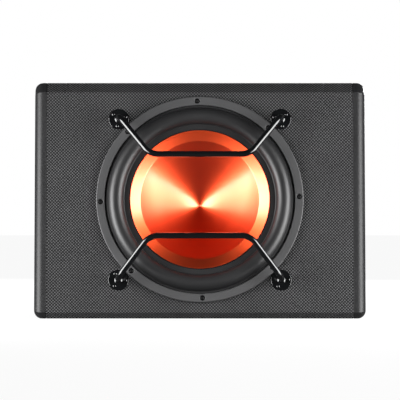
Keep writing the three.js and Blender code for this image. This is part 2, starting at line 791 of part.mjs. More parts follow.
const housingFront = plateUnder - fitGap;
const housingBack = housingFront - housingDepth;
addPart(amplifier, 'amp_housing', cut(
  block(0, 0, housingWidth, housingHeight, housingBack, housingFront),
  [block(
    0, 0, housingWidth - 2 * housingWall, housingHeight - 2 * housingWall,
    housingBack + housingWall, housingFront + housingWall,
  )],
), blackPlastic);

const boardFront = plateUnder - boardGap;
const boardBack = boardFront - circuitBoardThickness;
const boardMargin = 2 * (housingWall + openingMargin);
addPart(
  amplifier, 'circuit_board',
  block(0, 0, housingWidth - boardMargin, housingHeight - boardMargin, boardBack, boardFront), greenBoard,
);
const partsBase = boardBack - fitGap;
const transformerBack = partsBase - transformerHeight;
const winding = tube(transformerInner, transformerOuter, transformerBack, partsBase, innerSteps);
addPart(amplifier, 'transformer', winding, yellowTape)
  .position.set(transformerPlace.x, transformerPlace.y, 0);
const can = rod(capacitorRadius, partsBase - capacitorHeight, partsBase, smallSteps);
addPart(amplifier, 'capacitor', can, blackPlastic).position.set(capacitorPlace.x, capacitorPlace.y, 0);

// Knobs turn on shafts through the plate. A notch marks where each one points.
for (const [name, x] of Object.entries(knobPlaces)) {
  const knobOutline = [
    [0, plateUnder - shaftReach],
    [knobShaftRadius, plateUnder - shaftReach],
    [knobShaftRadius, controlBase + knobEdge],
    [knobRadius, controlBase + knobEdge],
    [knobRadius, controlTop - knobEdge],
    [knobRadius - knobEdge, controlTop],
    [0, controlTop],
  ];
  const notchBase = controlTop - knobEdge;
  const notchTop = controlTop + knobEdge;
  const notch = block(0, knobRadius - knobNotchInset, knobNotchWidth, knobNotchLength, notchBase, notchTop);
  const knob = addPart(amplifier, name, cut(turned(knobOutline, 16), [notch]), blackPlastic);
  knob.position.set(x, rowTop, 0);
}
const slider = block(0, 0, switchSize.x, switchSize.y, plateUnder - shaftReach, controlBase + switchHeight);
addPart(amplifier, 'phase_switch', slider, blackPlastic).position.set(switchPlace.x, switchPlace.y, 0);

// Phono sockets: collars with a pin hole down the middle.
for (const [name, finish] of [['phono_socket_left', whitePlastic], ['phono_socket_right', redPlastic]]) {
  const socket = tube(phonoHoleRadius, phonoRadius, controlBase, controlTop, smallSteps);
  addPart(amplifier, name, socket, finish).position.set(phonoPlaces[name], rowMiddle, 0);
}

// Box-shaped sockets, hollow from the outside
function addBoxSocket(name, x, size) {
  const inner = size.clone().subScalar(2 * socketWall);
  const body = block(x, rowMiddle, size.x, size.y, controlBase, controlTop);
  const hollow = block(x, rowMiddle, inner.x, inner.y, controlBase + socketWall, controlTop + socketWall);
  addPart(amplifier, name, cut(body, [hollow]), blackPlastic);
}
addBoxSocket('remote_socket', remotePlaceX, remoteSize);
addBoxSocket('speaker_level_socket', speakerLevelPlaceX, speakerLevelSize);

// Power terminal: three wire slots that open downwards.
const wireSlots = [-1, 0, 1].map((i) => boxBetween(
  new THREE.Vector3(
    terminalPlaceX + i * slotPitch - slotSize / 2, rowBottom - terminalDepth, controlBase + terminalWall,
  ),
  new THREE.Vector3(
    terminalPlaceX + i * slotPitch + slotSize / 2, rowBottom + slotEnd, controlTop - terminalWall,
  ),
));
const terminalBody = block(terminalPlaceX, rowBottom, terminalWidth, terminalDepth, controlBase, controlTop);
addPart(amplifier, 'power_terminal', cut(terminalBody, wireSlots), blackPlastic);

const fuseBase = controlBase + fuseHolderHeight;
const fuseHolder = block(fusePlaceX, rowBottom, fuseHolderSize.x, fuseHolderSize.y, controlBase, fuseBase);
addPart(amplifier, 'fuse_holder', fuseHolder, blackPlastic);
const fuse = block(fusePlaceX, rowBottom, fuseSize.x, fuseSize.y, fuseBase + fitGap, controlTop);
addPart(amplifier, 'fuse', fuse, redPlastic);
addPart(amplifier, 'power_lamp', rod(lampRadius, controlBase, controlBase + lampHeight, smallSteps), blueLens)
  .position.set(lampPlaceX, rowMiddle, 0);

// ---- Leads from the amplifier to the driver ----

// They leave the housing, pass below the boot and end beside the terminal.
const underBoot = -(bootInner + bootWall + leadClearance);
const gland = new THREE.Vector3(glandPlace.x, glandPlace.y, housingBack - fitGap);
const pointIn = (group, x, y, z) => new THREE.Vector3(x, y, z).applyMatrix4(group.matrix);
for (const [name, offset, finish] of [
  ['lead_positive', leadSpacing, redPlastic],
  ['lead_negative', -leadSpacing, blackPlastic],
]) {
  const route = new THREE.CatmullRomCurve3([
    pointIn(amplifier, gland.x - offset, gland.y, gland.z),
    pointIn(amplifier, gland.x - offset, gland.y - glandDrop, gland.z - glandReach),
    pointIn(driver, offset, underBoot, yokeBack),
    pointIn(driver, offset, underBoot, plateFront),
    pointIn(driver, offset, terminal.position.y, terminal.position.z - terminalSize.length() / 2 - tagGap),
  ]);
  addPart(cabinet, name, pipe(route, leadRadius, 8, 26), finish);
}

// ---- Assembly ----

const subwoofer = new THREE.Group();
subwoofer.add(cabinet, driver, amplifier);
const extent = new THREE.Box3().setFromObject(subwoofer, true);
subwoofer.position.y = -(extent.min.y + extent.max.y) / 2;

export default subwoofer;
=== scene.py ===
import json
from math import atan2, cos, pi, radians, sin, sqrt, tan

import bmesh
import bpy
from mathutils import Matrix, Vector
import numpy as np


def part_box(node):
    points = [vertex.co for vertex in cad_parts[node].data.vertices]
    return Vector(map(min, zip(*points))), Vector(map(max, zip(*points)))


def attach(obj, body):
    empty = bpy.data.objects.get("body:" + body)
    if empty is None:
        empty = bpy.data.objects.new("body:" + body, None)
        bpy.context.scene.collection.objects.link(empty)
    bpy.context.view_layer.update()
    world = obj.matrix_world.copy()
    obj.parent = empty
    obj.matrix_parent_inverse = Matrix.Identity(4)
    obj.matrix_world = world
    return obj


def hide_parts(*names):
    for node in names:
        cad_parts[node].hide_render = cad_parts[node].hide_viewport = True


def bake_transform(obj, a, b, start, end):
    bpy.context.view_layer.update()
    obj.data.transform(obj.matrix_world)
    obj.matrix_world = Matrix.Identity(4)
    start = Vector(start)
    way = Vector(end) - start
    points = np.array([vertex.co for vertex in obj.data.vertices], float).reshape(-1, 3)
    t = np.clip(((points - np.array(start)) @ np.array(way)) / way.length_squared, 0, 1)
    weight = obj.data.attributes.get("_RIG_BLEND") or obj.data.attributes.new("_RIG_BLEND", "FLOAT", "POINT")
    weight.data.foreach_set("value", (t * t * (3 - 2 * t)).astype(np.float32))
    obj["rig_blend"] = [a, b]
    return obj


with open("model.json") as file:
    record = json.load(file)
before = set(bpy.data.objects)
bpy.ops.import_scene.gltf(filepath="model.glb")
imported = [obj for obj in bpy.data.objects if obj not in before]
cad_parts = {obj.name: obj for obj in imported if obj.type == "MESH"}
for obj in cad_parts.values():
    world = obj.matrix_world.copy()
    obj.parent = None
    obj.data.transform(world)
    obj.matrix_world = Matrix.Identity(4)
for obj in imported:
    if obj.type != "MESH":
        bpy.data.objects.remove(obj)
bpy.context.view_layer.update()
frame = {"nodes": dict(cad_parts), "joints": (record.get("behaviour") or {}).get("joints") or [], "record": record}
mm = 0.001
print("frame loaded:", len(frame["nodes"]), "nodes")


# Where things are, read from the frame

def boxCentre(node):
    low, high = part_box(node)
    return (low + high) / 2


def boxSize(node):
    low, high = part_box(node)
    return high - low


coneJoint = next(joint for joint in frame["joints"] if joint["name"] == "cone_travel")
driverAxis = Vector(coneJoint["axis"]).normalized()
baffleLean = atan2(driverAxis.z, -driverAxis.y)
ringMiddleLevel = 4.95 * mm                       # middle of the trim ring, from the front of the covering
driverCentre = boxCentre("trim_ring") - driverAxis * ringMiddleLevel
driverTurn = Matrix.Rotation(pi / 2 - baffleLean, 4, "X")
driverPlace = Matrix.Translation(driverCentre) @ driverTurn      # X across, Y up the front, Z out of it

sideLow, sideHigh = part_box("left_side_panel")
bezelLow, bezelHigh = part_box("amp_bezel")
bezelMiddle = (bezelLow + bezelHigh) / 2
bezelProud = 3.3 * mm
ampFace = bezelHigh.y - bezelProud                # the back of the covering
ampPlace = Matrix.Translation((0, ampFace, bezelMiddle.z)) @ Matrix(
    ((-1, 0, 0, 0), (0, 0, 1, 0), (0, 1, 0, 0), (0, 0, 0, 1)))   # X to the right seen from behind, Z out


# Camera and lights

camera = {"distance": 6.0, "height": 173.9 * mm, "across": 0.2 * mm, "sensor": 36.0, "viewWidth": 588.5 * mm,
          "frontPlane": -127 * mm}
cameraData = bpy.data.cameras.new("camera")
cameraData.sensor_width = camera["sensor"]
cameraData.lens = camera["sensor"] * camera["distance"] / camera["viewWidth"]
cameraData.clip_end = 40
cameraObject = bpy.data.objects.new("camera", cameraData)
cameraObject.location = (camera["across"], camera["frontPlane"] - camera["distance"], camera["height"])
cameraObject.rotation_euler = (pi / 2, 0, 0)
bpy.context.scene.collection.objects.link(cameraObject)
bpy.context.scene.camera = cameraObject
bpy.context.scene.view_settings.view_transform = "Standard"
bpy.context.scene.view_settings.look = "None"

# name: place, aimed at, width, height, watts
softboxes = {
    "left_softbox": ((-0.88, -0.62, 0.2), (0, -0.15, 0.15), 0.7, 0.85, 37),
    "right_softbox": ((0.88, -0.62, 0.2), (0, -0.15, 0.15), 0.7, 0.85, 34),
    "back_softbox": ((0.5, 2.4, 1.0), (0, 0.2, 0.15), 1.6, 1.2, 135),
}
for name, (place, target, width, height, power) in softboxes.items():
    light = bpy.data.lights.new(name, "AREA")
    light.shape = "RECTANGLE"
    light.size = width
    light.size_y = height
    light.energy = power
    lamp = bpy.data.objects.new(name, light)
    lamp.location = place
    lamp.rotation_euler = (Vector(target) - Vector(place)).to_track_quat("-Z", "Y").to_euler()
    bpy.context.scene.collection.objects.link(lamp)

# The room: white where the camera looks, and for what it lights dark above and paler towards the floor
room = bpy.data.worlds.new("room")
room.use_nodes = True
bpy.context.scene.world = room
roomNodes = room.node_tree.nodes
roomLinks = room.node_tree.links
roomNodes.clear()
seen = roomNodes.new("ShaderNodeBackground")
seen.inputs["Strength"].default_value = 1.0
seen.inputs["Color"].default_value = (1, 1, 1, 1)
around = roomNodes.new("ShaderNodeTexCoord")
axes = roomNodes.new("ShaderNodeSeparateXYZ")
height = roomNodes.new("ShaderNodeMapRange")
for key, value in (("From Min", -0.6), ("From Max", 0.3), ("To Min", 0.1), ("To Max", 0.02)):
    height.inputs[key].default_value = value
glow = roomNodes.new("ShaderNodeBackground")
glow.inputs["Color"].default_value = (1, 1, 1, 1)
ray = roomNodes.new("ShaderNodeLightPath")
either = roomNodes.new("ShaderNodeMixShader")
roomOut = roomNodes.new("ShaderNodeOutputWorld")
roomLinks.new(around.outputs["Generated"], axes.inputs[0])
roomLinks.new(axes.outputs[2], height.inputs[0])
roomLinks.new(height.outputs[0], glow.inputs["Strength"])
roomLinks.new(ray.outputs["Is Camera Ray"], either.inputs["Fac"])
roomLinks.new(glow.outputs["Background"], either.inputs[1])
roomLinks.new(seen.outputs["Background"], either.inputs[2])
roomLinks.new(either.outputs["Shader"], roomOut.inputs["Surface"])


# Materials

def newMaterial(name, color, roughness, metallic=0.0, specular=0.5):
    material = bpy.data.materials.new(name)
    material.use_nodes = True
    shader = material.node_tree.nodes["Principled BSDF"]
    shader.inputs["Base Color"].default_value = (*color, 1)
    shader.inputs["Roughness"].default_value = roughness
    shader.inputs["Metallic"].default_value = metallic
    shader.inputs["Specular IOR Level"].default_value = specular
    return material


def addNode(material, kind, inputs=None, **settings):
    made = material.node_tree.nodes.new("ShaderNode" + kind)
    for key, value in settings.items():
        setattr(made, key, value)
    for key, value in (inputs or {}).items():
        if isinstance(value, bpy.types.NodeSocket):
            material.node_tree.links.new(value, made.inputs[key])
        else:
            made.inputs[key].default_value = value
    return made


def shaderOf(material):
    return material.node_tree.nodes["Principled BSDF"]


def feed(material, socketName, output):
    material.node_tree.links.new(output, shaderOf(material).inputs[socketName])


def calculate(material, operation, first, second=0.0, third=0.0):
    return addNode(material, "Math", {0: first, 1: second, 2: third}, operation=operation).outputs[0]


def objectPoint(material):
    return addNode(material, "TexCoord").outputs["Object"]


def uvPoint(material):
    return addNode(material, "TexCoord").outputs["UV"]


# A point in the driver's own frame: X across, Y up the front, Z out of it
def driverPoint(material):
    return addNode(material, "Mapping", {
        "Vector": objectPoint(material), "Location": driverCentre, "Rotation": (pi / 2 - baffleLean, 0, 0),
    }, vector_type="TEXTURE").outputs[0]


def noiseAt(material, point, scale, detail=3.0, roughness=0.55):
    return addNode(material, "TexNoise", {
        "Vector": point, "Scale": scale, "Detail": detail, "Roughness": roughness,
    }).outputs["Fac"]


def remap(material, value, low, high, fromLow=0.0, fromHigh=1.0):
    return addNode(material, "MapRange", {
        "Value": value, "From Min": fromLow, "From Max": fromHigh, "To Min": low, "To Max": high,
    }).outputs[0]


def blendColors(material, factor, first, second):
    mixer = addNode(material, "Mix", data_type="RGBA")
    material.node_tree.links.new(factor, mixer.inputs[0])
    for slot, color in ((6, first), (7, second)):
        if isinstance(color, bpy.types.NodeSocket):
            material.node_tree.links.new(color, mixer.inputs[slot])
        else:
            mixer.inputs[slot].default_value = (*color, 1)
    return mixer.outputs[2]


def colorFrom(material, factor, dark, light):
    feed(material, "Base Color", blendColors(material, factor, dark, light))


# Most patterns sit in the middle of their range, so only that part is spread out
def spreadOut(material, value, low=0, high=1):
    return remap(material, value, low, high, 0.3, 0.7)


def multiply(material, first, second):
    return calculate(material, "MULTIPLY", first, second)


def bumpFrom(material, height, distance, strength=1.0):
    feed(material, "Normal", addNode(material, "Bump", {
        "Height": height, "Distance": distance, "Strength": strength,
    }).outputs[0])


# Two shades mixed by soft blotches, with fine grain in roughness and relief
def grained(name, dark, light, roughness, spread, grain, depth, metallic=0.0, specular=0.5, blotch=14.0):
    material = newMaterial(name, dark, roughness, metallic, specular)
    point = objectPoint(material)
    fine = noiseAt(material, point, grain, 4.0)
    broad = noiseAt(material, point, blotch, 2.0)
    shade = calculate(material, "MULTIPLY_ADD", fine, 0.5, multiply(material, broad, 0.5))
    colorFrom(material, spreadOut(material, shade), dark, light)
    feed(material, "Roughness", spreadOut(material, shade, roughness - spread, roughness + spread))
    bumpFrom(material, fine, depth)
    return material


def makeSideVinyl():
    look = {"dark": (0.007, 0.007, 0.0073), "light": (0.012, 0.012, 0.0125), "roughness": (0.38, 0.46),
            "pores": 900.0, "relief": 0.12 * mm}
    material = newMaterial("side_vinyl", look["dark"], 0.4, 0.0, 0.2)
    point = objectPoint(material)
    pebbles = addNode(material, "TexVoronoi", {"Vector": point, "Scale": look["pores"]}).outputs["Distance"]
    creases = noiseAt(material, point, 340.0, 4.0)
    broad = noiseAt(material, point, 9.0, 2.0)
    colorFrom(material, remap(material, creases, 0, 1, 0.35, 0.65), look["dark"], look["light"])
    feed(material, "Roughness", spreadOut(material, broad, *look["roughness"]))
    bumpFrom(material, calculate(material, "MULTIPLY_ADD", creases, 0.5, pebbles), look["relief"], 0.6)
    return material


# Basket weave on a UV map in metres: every other cell shows a thread running across or along. Its colour holds
# painted shade: dark in the gaps between threads, and the cells of one direction painted at a tenth of the other's
# brightness, standing in for how light catches the weave
def makeWovenVinyl():
    # gap is a painted shade colour for the hollows between threads, and turned dims every other cell as painted
    # shade
    look = {"cell": 2.3 * mm, "gap": (0.0012, 0.0012, 0.0013), "thread": (0.065, 0.065, 0.0665),
            "turned": 0.1, "relief": 0.45 * mm}
    material = newMaterial("woven_vinyl", look["thread"], 0.5, 0.0, 0.06)
    scaled = addNode(material, "VectorMath", {0: uvPoint(material), "Scale": 1 / look["cell"]},
                     operation="SCALE").outputs[0]
    parts = addNode(material, "SeparateXYZ", {0: scaled})
    across, along = parts.outputs[0], parts.outputs[1]
    row = calculate(material, "ADD", *[calculate(material, "FLOOR", value) for value in (across, along)])
    over = calculate(material, "FLOORED_MODULO", row, 2.0)

    def arch(value):
        centred = calculate(material, "MULTIPLY_ADD", calculate(material, "FRACT", value), 2.0, -1.0)
        return calculate(material, "SUBTRACT", 1.0, multiply(material, centred, centred))

    archAcross, archAlong = arch(across), arch(along)
    upright = multiply(material, calculate(material, "POWER", archAcross, 0.5),
                        calculate(material, "MULTIPLY_ADD", archAlong, 0.6, 0.4))
    level = multiply(material, calculate(material, "POWER", archAlong, 0.5),
                      calculate(material, "MULTIPLY_ADD", archAcross, 0.6, 0.4))
    height = addNode(material, "Mix", {0: over, 2: upright, 3: level}).outputs[0]
    broad = noiseAt(material, objectPoint(material), 11.0, 3.0)
    fibre = noiseAt(material, scaled, 3.0, 3.0)
    # painted shade: the colour follows each thread's height, darkest in the gaps, and every other cell gets a
    # tenth of the brightness; the broad noise adds random tone
    paintedWeaveShade = multiply(material, height, remap(material, over, 1.0, look["turned"]))
    paintedShadeAndTone = multiply(material, paintedWeaveShade, spreadOut(material, broad, 0.85, 1.1))
    colorFrom(material, paintedShadeAndTone, look["gap"], look["thread"])
    feed(material, "Roughness", spreadOut(material, fibre, 0.42, 0.6))
    bumpFrom(material, calculate(material, "MULTIPLY_ADD", fibre, 0.15, height), look["relief"], 0.9)
    return material


# Spun sheet metal under an orange lacquer: fine rings round the axis stretch every highlight outwards
def makeOrangeMetal():
    look = {"color": (0.92, 0.095, 0.024), "worn": (0.87, 0.08, 0.018), "roughness": 0.38, "anisotropy": 0.5,
            "lacquer": 0.8, "lacquerIor": 1.55, "lacquerRoughness": 0.22,
            "rings": 3200.0, "relief": 0.012 * mm}
    material = newMaterial("orange_metal", look["color"], look["roughness"], 1.0)
    shader = shaderOf(material)
    shader.inputs["Anisotropic"].default_value = look["anisotropy"]
    shader.inputs["Coat Weight"].default_value = look["lacquer"]
    shader.inputs["Coat IOR"].default_value = look["lacquerIor"]
    shader.inputs["Coat Roughness"].default_value = look["lacquerRoughness"]
    point = driverPoint(material)
    parts = addNode(material, "SeparateXYZ", {0: point})
    radius = addNode(material, "VectorMath", {0: addNode(material, "VectorMath", {0: point, 1: (1, 1, 0)},
                                                         operation="MULTIPLY").outputs[0]},
                     operation="LENGTH").outputs["Value"]
    turn = calculate(material, "ARCTAN2", parts.outputs[1], parts.outputs[0])
    groove = addNode(material, "CombineXYZ", {
        0: multiply(material, radius, look["rings"]), 1: calculate(material, "SINE", turn),
        2: calculate(material, "COSINE", turn)}).outputs[0]
    rings = noiseAt(material, groove, 1.0, 3.0)
    colorFrom(material, rings, look["worn"], look["color"])
    feed(material, "Roughness", spreadOut(material, rings, 0.3, 0.38))
    away = addNode(material, "VectorMath", {0: objectPoint(material), 1: driverCentre},
                   operation="SUBTRACT").outputs[0]
    feed(material, "Tangent", addNode(material, "VectorMath", {0: driverAxis, 1: away},
                                      operation="CROSS_PRODUCT").outputs[0])
    bumpFrom(material, rings, look["relief"], 0.5)
    return material


# Aluminium brushed along X
def makeBareAluminium():
    look = {"dark": (0.52, 0.53, 0.54), "light": (0.7, 0.71, 0.72), "roughness": 0.34, "anisotropy": 0.5,
            "stroke": (14.0, 2600.0, 2600.0), "relief": 0.006 * mm}
    material = newMaterial("bare_aluminium", look["light"], look["roughness"], 1.0)
    shaderOf(material).inputs["Anisotropic"].default_value = look["anisotropy"]
    point = objectPoint(material)
    stretched = addNode(material, "Mapping", {"Vector": point, "Scale": look["stroke"]}).outputs[0]
    strokes = noiseAt(material, stretched, 1.0, 3.0)
    colorFrom(material, spreadOut(material, strokes), look["dark"], look["light"])
    feed(material, "Roughness", spreadOut(material, strokes, 0.28, 0.42))
    feed(material, "Tangent", addNode(material, "CombineXYZ", {0: 1.0, 1: 0.0, 2: 0.0}).outputs[0])
    bumpFrom(material, strokes, look["relief"], 0.6)
    return material


# Fine turns of enamelled wire, one beside the next along the driver's axis, coloured with painted shade: dark in
# the grooves between turns, light on their crests
def makeCopperWire():
    look = {"dark": (0.25, 0.07, 0.03), "light": (0.72, 0.28, 0.14), "pitch": 0.45 * mm, "relief": 0.1 * mm}
    material = newMaterial("copper_wire", look["light"], 0.3, 1.0)
    level = addNode(material, "SeparateXYZ", {0: driverPoint(material)}).outputs[2]
    turns = calculate(material, "SINE", multiply(material, level, 2 * pi / look["pitch"]))
    # painted shade: the colour follows the turns' height, dark between them
    shade = calculate(material, "MULTIPLY_ADD", turns, 0.5, 0.5)
    colorFrom(material, shade, look["dark"], look["light"])
    bumpFrom(material, shade, look["relief"])
    return material


# Resin-dipped cotton: plain weave across the driver's frame, with painted shade, dark in the dips of the weave and
# light on the raised threads
def makeSpiderCloth():
    look = {"dark": (0.22, 0.12, 0.03), "light": (0.5, 0.32, 0.1), "pitch": 1.1 * mm, "relief": 0.15 * mm}
    material = newMaterial("spider_cloth", look["light"], 0.85, 0.0, 0.2)
    parts = addNode(material, "SeparateXYZ", {0: driverPoint(material)})
    turns = 2 * pi / look["pitch"]
    waves = [calculate(material, "SINE", multiply(material, parts.outputs[i], turns)) for i in (0, 1)]
    weave = calculate(material, "MULTIPLY_ADD", multiply(material, *waves), 0.5, 0.5)
    # painted shade: the colour follows the weave's height
    colorFrom(material, weave, look["dark"], look["light"])
    feed(material, "Roughness", remap(material, weave, 0.95, 0.75))
    bumpFrom(material, weave, look["relief"])
    return material


# Solder mask with pale tracks along it
def makeGreenBoard():
    look = {"mask": (0.01, 0.09, 0.03), "track": (0.03, 0.2, 0.08), "pitch": 520.0, "relief": 0.05 * mm}
    material = newMaterial("green_board", look["mask"], 0.35, 0.0, 0.5)
    cells = addNode(material, "TexVoronoi", {"Vector": objectPoint(material), "Scale": look["pitch"] / 6},
                    feature="F1", distance="CHEBYCHEV").outputs["Distance"]
    tracks = calculate(material, "PINGPONG", multiply(material, cells, 3.0), 1.0)
    shade = remap(material, tracks, 0, 1, 0.45, 0.55)
    colorFrom(material, shade, look["mask"], look["track"])
    bumpFrom(material, shade, look["relief"])
    return material


# Tape wound round a core, each turn overlapping the last; each lap is coloured with painted shade, darkest at the
# foot of its step and lightening across the lap
def makeYellowTape():
    look = {"dark": (0.5, 0.25, 0.02), "light": (0.75, 0.45, 0.05), "turns": 44, "relief": 0.2 * mm}
    material = newMaterial("yellow_tape", look["light"], 0.35, 0.0, 0.5)
    point = addNode(material, "Mapping", {
        "Vector": objectPoint(material), "Location": boxCentre("transformer"),
    }, vector_type="TEXTURE").outputs[0]
    parts = addNode(material, "SeparateXYZ", {0: point})
    turn = calculate(material, "ARCTAN2", parts.outputs[2], parts.outputs[0])
    laps = calculate(material, "FRACT", multiply(material, turn, look["turns"] / (2 * pi)))
    # painted shade: the colour follows the same lap ramp as the relief
    colorFrom(material, laps, look["dark"], look["light"])
    bumpFrom(material, laps, look["relief"])
    return material


def makeFleece():
    material = grained("fleece", (0.6, 0.6, 0.57), (0.84, 0.84, 0.81), 0.95, 0.04, 900.0, 0.9 * mm, 0.0, 0.1,
                       70.0)
    shaderOf(material).inputs["Sheen Weight"].default_value = 0.4
    return material


def makeBlueLens():
    material = grained("blue_lens", (0.02, 0.08, 0.55), (0.04, 0.14, 0.75), 0.12, 0.03, 400.0, 0.005 * mm)
    shaderOf(material).inputs["Transmission Weight"].default_value = 0.6
    return material


# dark, light, roughness and its spread, grain, relief, then metallic, specular and size of the blotches
grainedFinishes = {
    "satin_black_trim": ((0.024, 0.024, 0.0245), (0.032, 0.032, 0.033),
                         0.46, 0.04, 1500.0, 0.02 * mm, 0.0, 0.5),
    "gloss_black_bar": ((0.002, 0.0022, 0.0024), (0.003, 0.0033, 0.0036), 0.1, 0.02, 60.0, 0.01 * mm),
    "black_steel": ((0.004, 0.004, 0.0042), (0.008, 0.008, 0.0084), 0.34, 0.06, 800.0, 0.02 * mm, 0.0, 0.4),
    "black_rubber": ((0.006, 0.006, 0.0063), (0.01, 0.01, 0.0105),
                     0.42, 0.04, 1200.0, 0.02 * mm, 0.0, 0.35),
    "pressed_paper": ((0.008, 0.008, 0.008), (0.02, 0.019, 0.018),
                      0.9, 0.05, 700.0, 0.15 * mm, 0.0, 0.1, 90.0),
    "fibreboard": ((0.3, 0.19, 0.1), (0.43, 0.3, 0.17), 0.88, 0.05, 1100.0, 0.12 * mm, 0.0, 0.2, 40.0),
    "zinc_steel": ((0.42, 0.43, 0.44), (0.6, 0.61, 0.62), 0.34, 0.08, 420.0, 0.01 * mm, 1.0, 0.5, 160.0),
    "ferrite": ((0.03, 0.03, 0.033), (0.06, 0.06, 0.066), 0.62, 0.08, 650.0, 0.08 * mm, 0.2),
    "black_plastic": ((0.01, 0.01, 0.011), (0.016, 0.016, 0.017), 0.44, 0.06, 1500.0, 0.05 * mm, 0.0, 0.4),
    "red_plastic": ((0.34, 0.008, 0.01), (0.46, 0.014, 0.018), 0.32, 0.05, 500.0, 0.02 * mm),
    "white_plastic": ((0.66, 0.66, 0.63), (0.78, 0.78, 0.75), 0.34, 0.05, 500.0, 0.02 * mm),
}
materials = {name: grained(name, *finish) for name, finish in grainedFinishes.items()}
materials.update({
    "side_vinyl": makeSideVinyl(), "woven_vinyl": makeWovenVinyl(), "orange_metal": makeOrangeMetal(),
    "fleece": makeFleece(), "bare_aluminium": makeBareAluminium(), "copper_wire": makeCopperWire(),
    "spider_cloth": makeSpiderCloth(), "green_board": makeGreenBoard(), "yellow_tape": makeYellowTape(),
    "blue_lens": makeBlueLens(),
})
print("materials made:", len(materials))


# Pieces

madePieces = []


# Smooth shading, broken where faces meet at more than an angle in degrees
def shadeSmooth(bm, angle=35):
    for edge in bm.edges:
        edge.smooth = not (len(edge.link_faces) == 2 and edge.calc_face_angle(0) > radians(angle))
    for face in bm.faces:
        face.smooth = True


def toObject(name, bm):
    mesh = bpy.data.meshes.new(name)
    bm.to_mesh(mesh)
    bm.free()
    made = bpy.data.objects.new(name, mesh)
    bpy.context.scene.collection.objects.link(made)
    return made


def toPiece(name, bm, materialName, replaced=(), place=None, body="cabinet_body", sharpAngle=35):
    if place is not None:
        bmesh.ops.transform(bm, matrix=place, verts=bm.verts)
    shadeSmooth(bm, sharpAngle)
    piece = toObject(name, bm)
    piece.data.materials.append(materials[materialName])
    if body:
        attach(piece, body)
    if replaced:
        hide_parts(*replaced)
    madePieces.append(piece)
    return piece


def roundEdges(bm, edges, offset, steps):
    bmesh.ops.bevel(bm, geom=edges, offset=offset * mm, offset_type="OFFSET", segments=steps, profile=0.5,
                    affect="EDGES", material=-1, clamp_overlap=True)


# The points among what an operator made
def pointsOf(made):
    return [item for item in made["geom"] if isinstance(item, bmesh.types.BMVert)]


# A place in the driver's or the amplifier's own frame, from mm
def shift(x, y):
    return Matrix.Translation(Vector((x, y, 0)) * mm)


# Rounds corners of a wire or a flat face, each to its own radius
def roundCorners(bm, corners, segments=4):
    for corner, radius in corners:
        if radius <= 0:
            continue
        first, second = [edge.other_vert(corner).co - corner.co for edge in corner.link_edges[:2]]
        turn = pi - first.angle(second)
        bmesh.ops.bevel(bm, geom=[corner], offset=radius * tan(turn / 2), offset_type="OFFSET",
                        segments=segments, profile=0.5, affect="VERTICES", material=-1, clamp_overlap=True)


# Turns an outline of (radius, level, corner radius) points about Z, in mm
def turned(outline, steps=96, cornerSteps=4, closed=True):
    bm = bmesh.new()
    corners = [bm.verts.new((point[0] * mm, 0, point[1] * mm)) for point in outline]
    pairs = list(zip(corners, corners[1:]))
    if closed and outline[0][0] > 0:
        pairs.append((corners[-1], corners[0]))
    for pair in pairs:
        bm.edges.new(pair)
    roundCorners(bm, [(corner, (point[2] if len(point) > 2 else 0) * mm)
                      for corner, point in zip(corners, outline)], cornerSteps)
    bmesh.ops.spin(bm, geom=bm.verts[:] + bm.edges[:], cent=(0, 0, 0), axis=(0, 0, 1), angle=2 * pi,
                   steps=steps, use_merge=True)
    bmesh.ops.remove_doubles(bm, verts=bm.verts, dist=1e-6)
    bmesh.ops.recalc_face_normals(bm, faces=bm.faces)
    return bm


def arcPoints(radius, level, size, fromAngle, toAngle, steps):
    angles = [radians(fromAngle + (toAngle - fromAngle) * i / steps) for i in range(steps + 1)]
    return [(radius + size * cos(angle), level + size * sin(angle)) for angle in angles]


# Bakes a piece's modifiers into its mesh
def applyModifiers(piece):
    bpy.context.view_layer.update()
    shown = piece.evaluated_get(bpy.context.evaluated_depsgraph_get())
    mesh = bpy.data.meshes.new_from_object(shown)
    piece.modifiers.clear()
    old = piece.data
    piece.data = mesh
    mesh.name = piece.name
    bpy.data.meshes.remove(old)


def carve(piece, cutters):
    tools = [toObject("cutter", bm) for bm in cutters]
    for tool in tools:
        modifier = piece.modifiers.new("cut", "BOOLEAN")
        modifier.operation = "DIFFERENCE"
        modifier.solver = "EXACT"
        modifier.object = tool
    applyModifiers(piece)
    for tool in tools:
        bpy.data.objects.remove(tool)
    bm = bmesh.new()
    bm.from_mesh(piece.data)
    shadeSmooth(bm)
    bm.to_mesh(piece.data)
    bm.free()


def carved(bm, cutters):
    draft = toObject("draft", bm)
    carve(draft, cutters)
    result = bmesh.new()
    result.from_mesh(draft.data)
    finished = draft.data
    bpy.data.objects.remove(draft)
    bpy.data.meshes.remove(finished)
    return result


# Cabinet

cabinet = {"upperBevel": 14, "lowerBevel": 9, "sideThickness": 18, "sideEdge": 12, "innerEdge": 1.0,
           "fold": 0.45, "sideProud": 1.5, "coveringThickness": 1.2, "seam": 0.3, "cutoutRadius": 139,
           "foldRadius": 2.5}


# The side view as a flat face on X = 0
def sideFace(bm):
    lean = tan(baffleLean)
    upper, lower = cabinet["upperBevel"] * mm, cabinet["lowerBevel"] * mm
    foot = sideLow.y - lower * lean
    depth, height = sideHigh.y - foot, sideHigh.z
    outline = [(lower, 0), (depth, 0), (depth, height), (height * lean + upper, height),
               ((height - upper) * lean, height - upper), (lower * lean, lower)]
    return bm.faces.new([bm.verts.new((0, foot + y, z)) for y, z in outline])


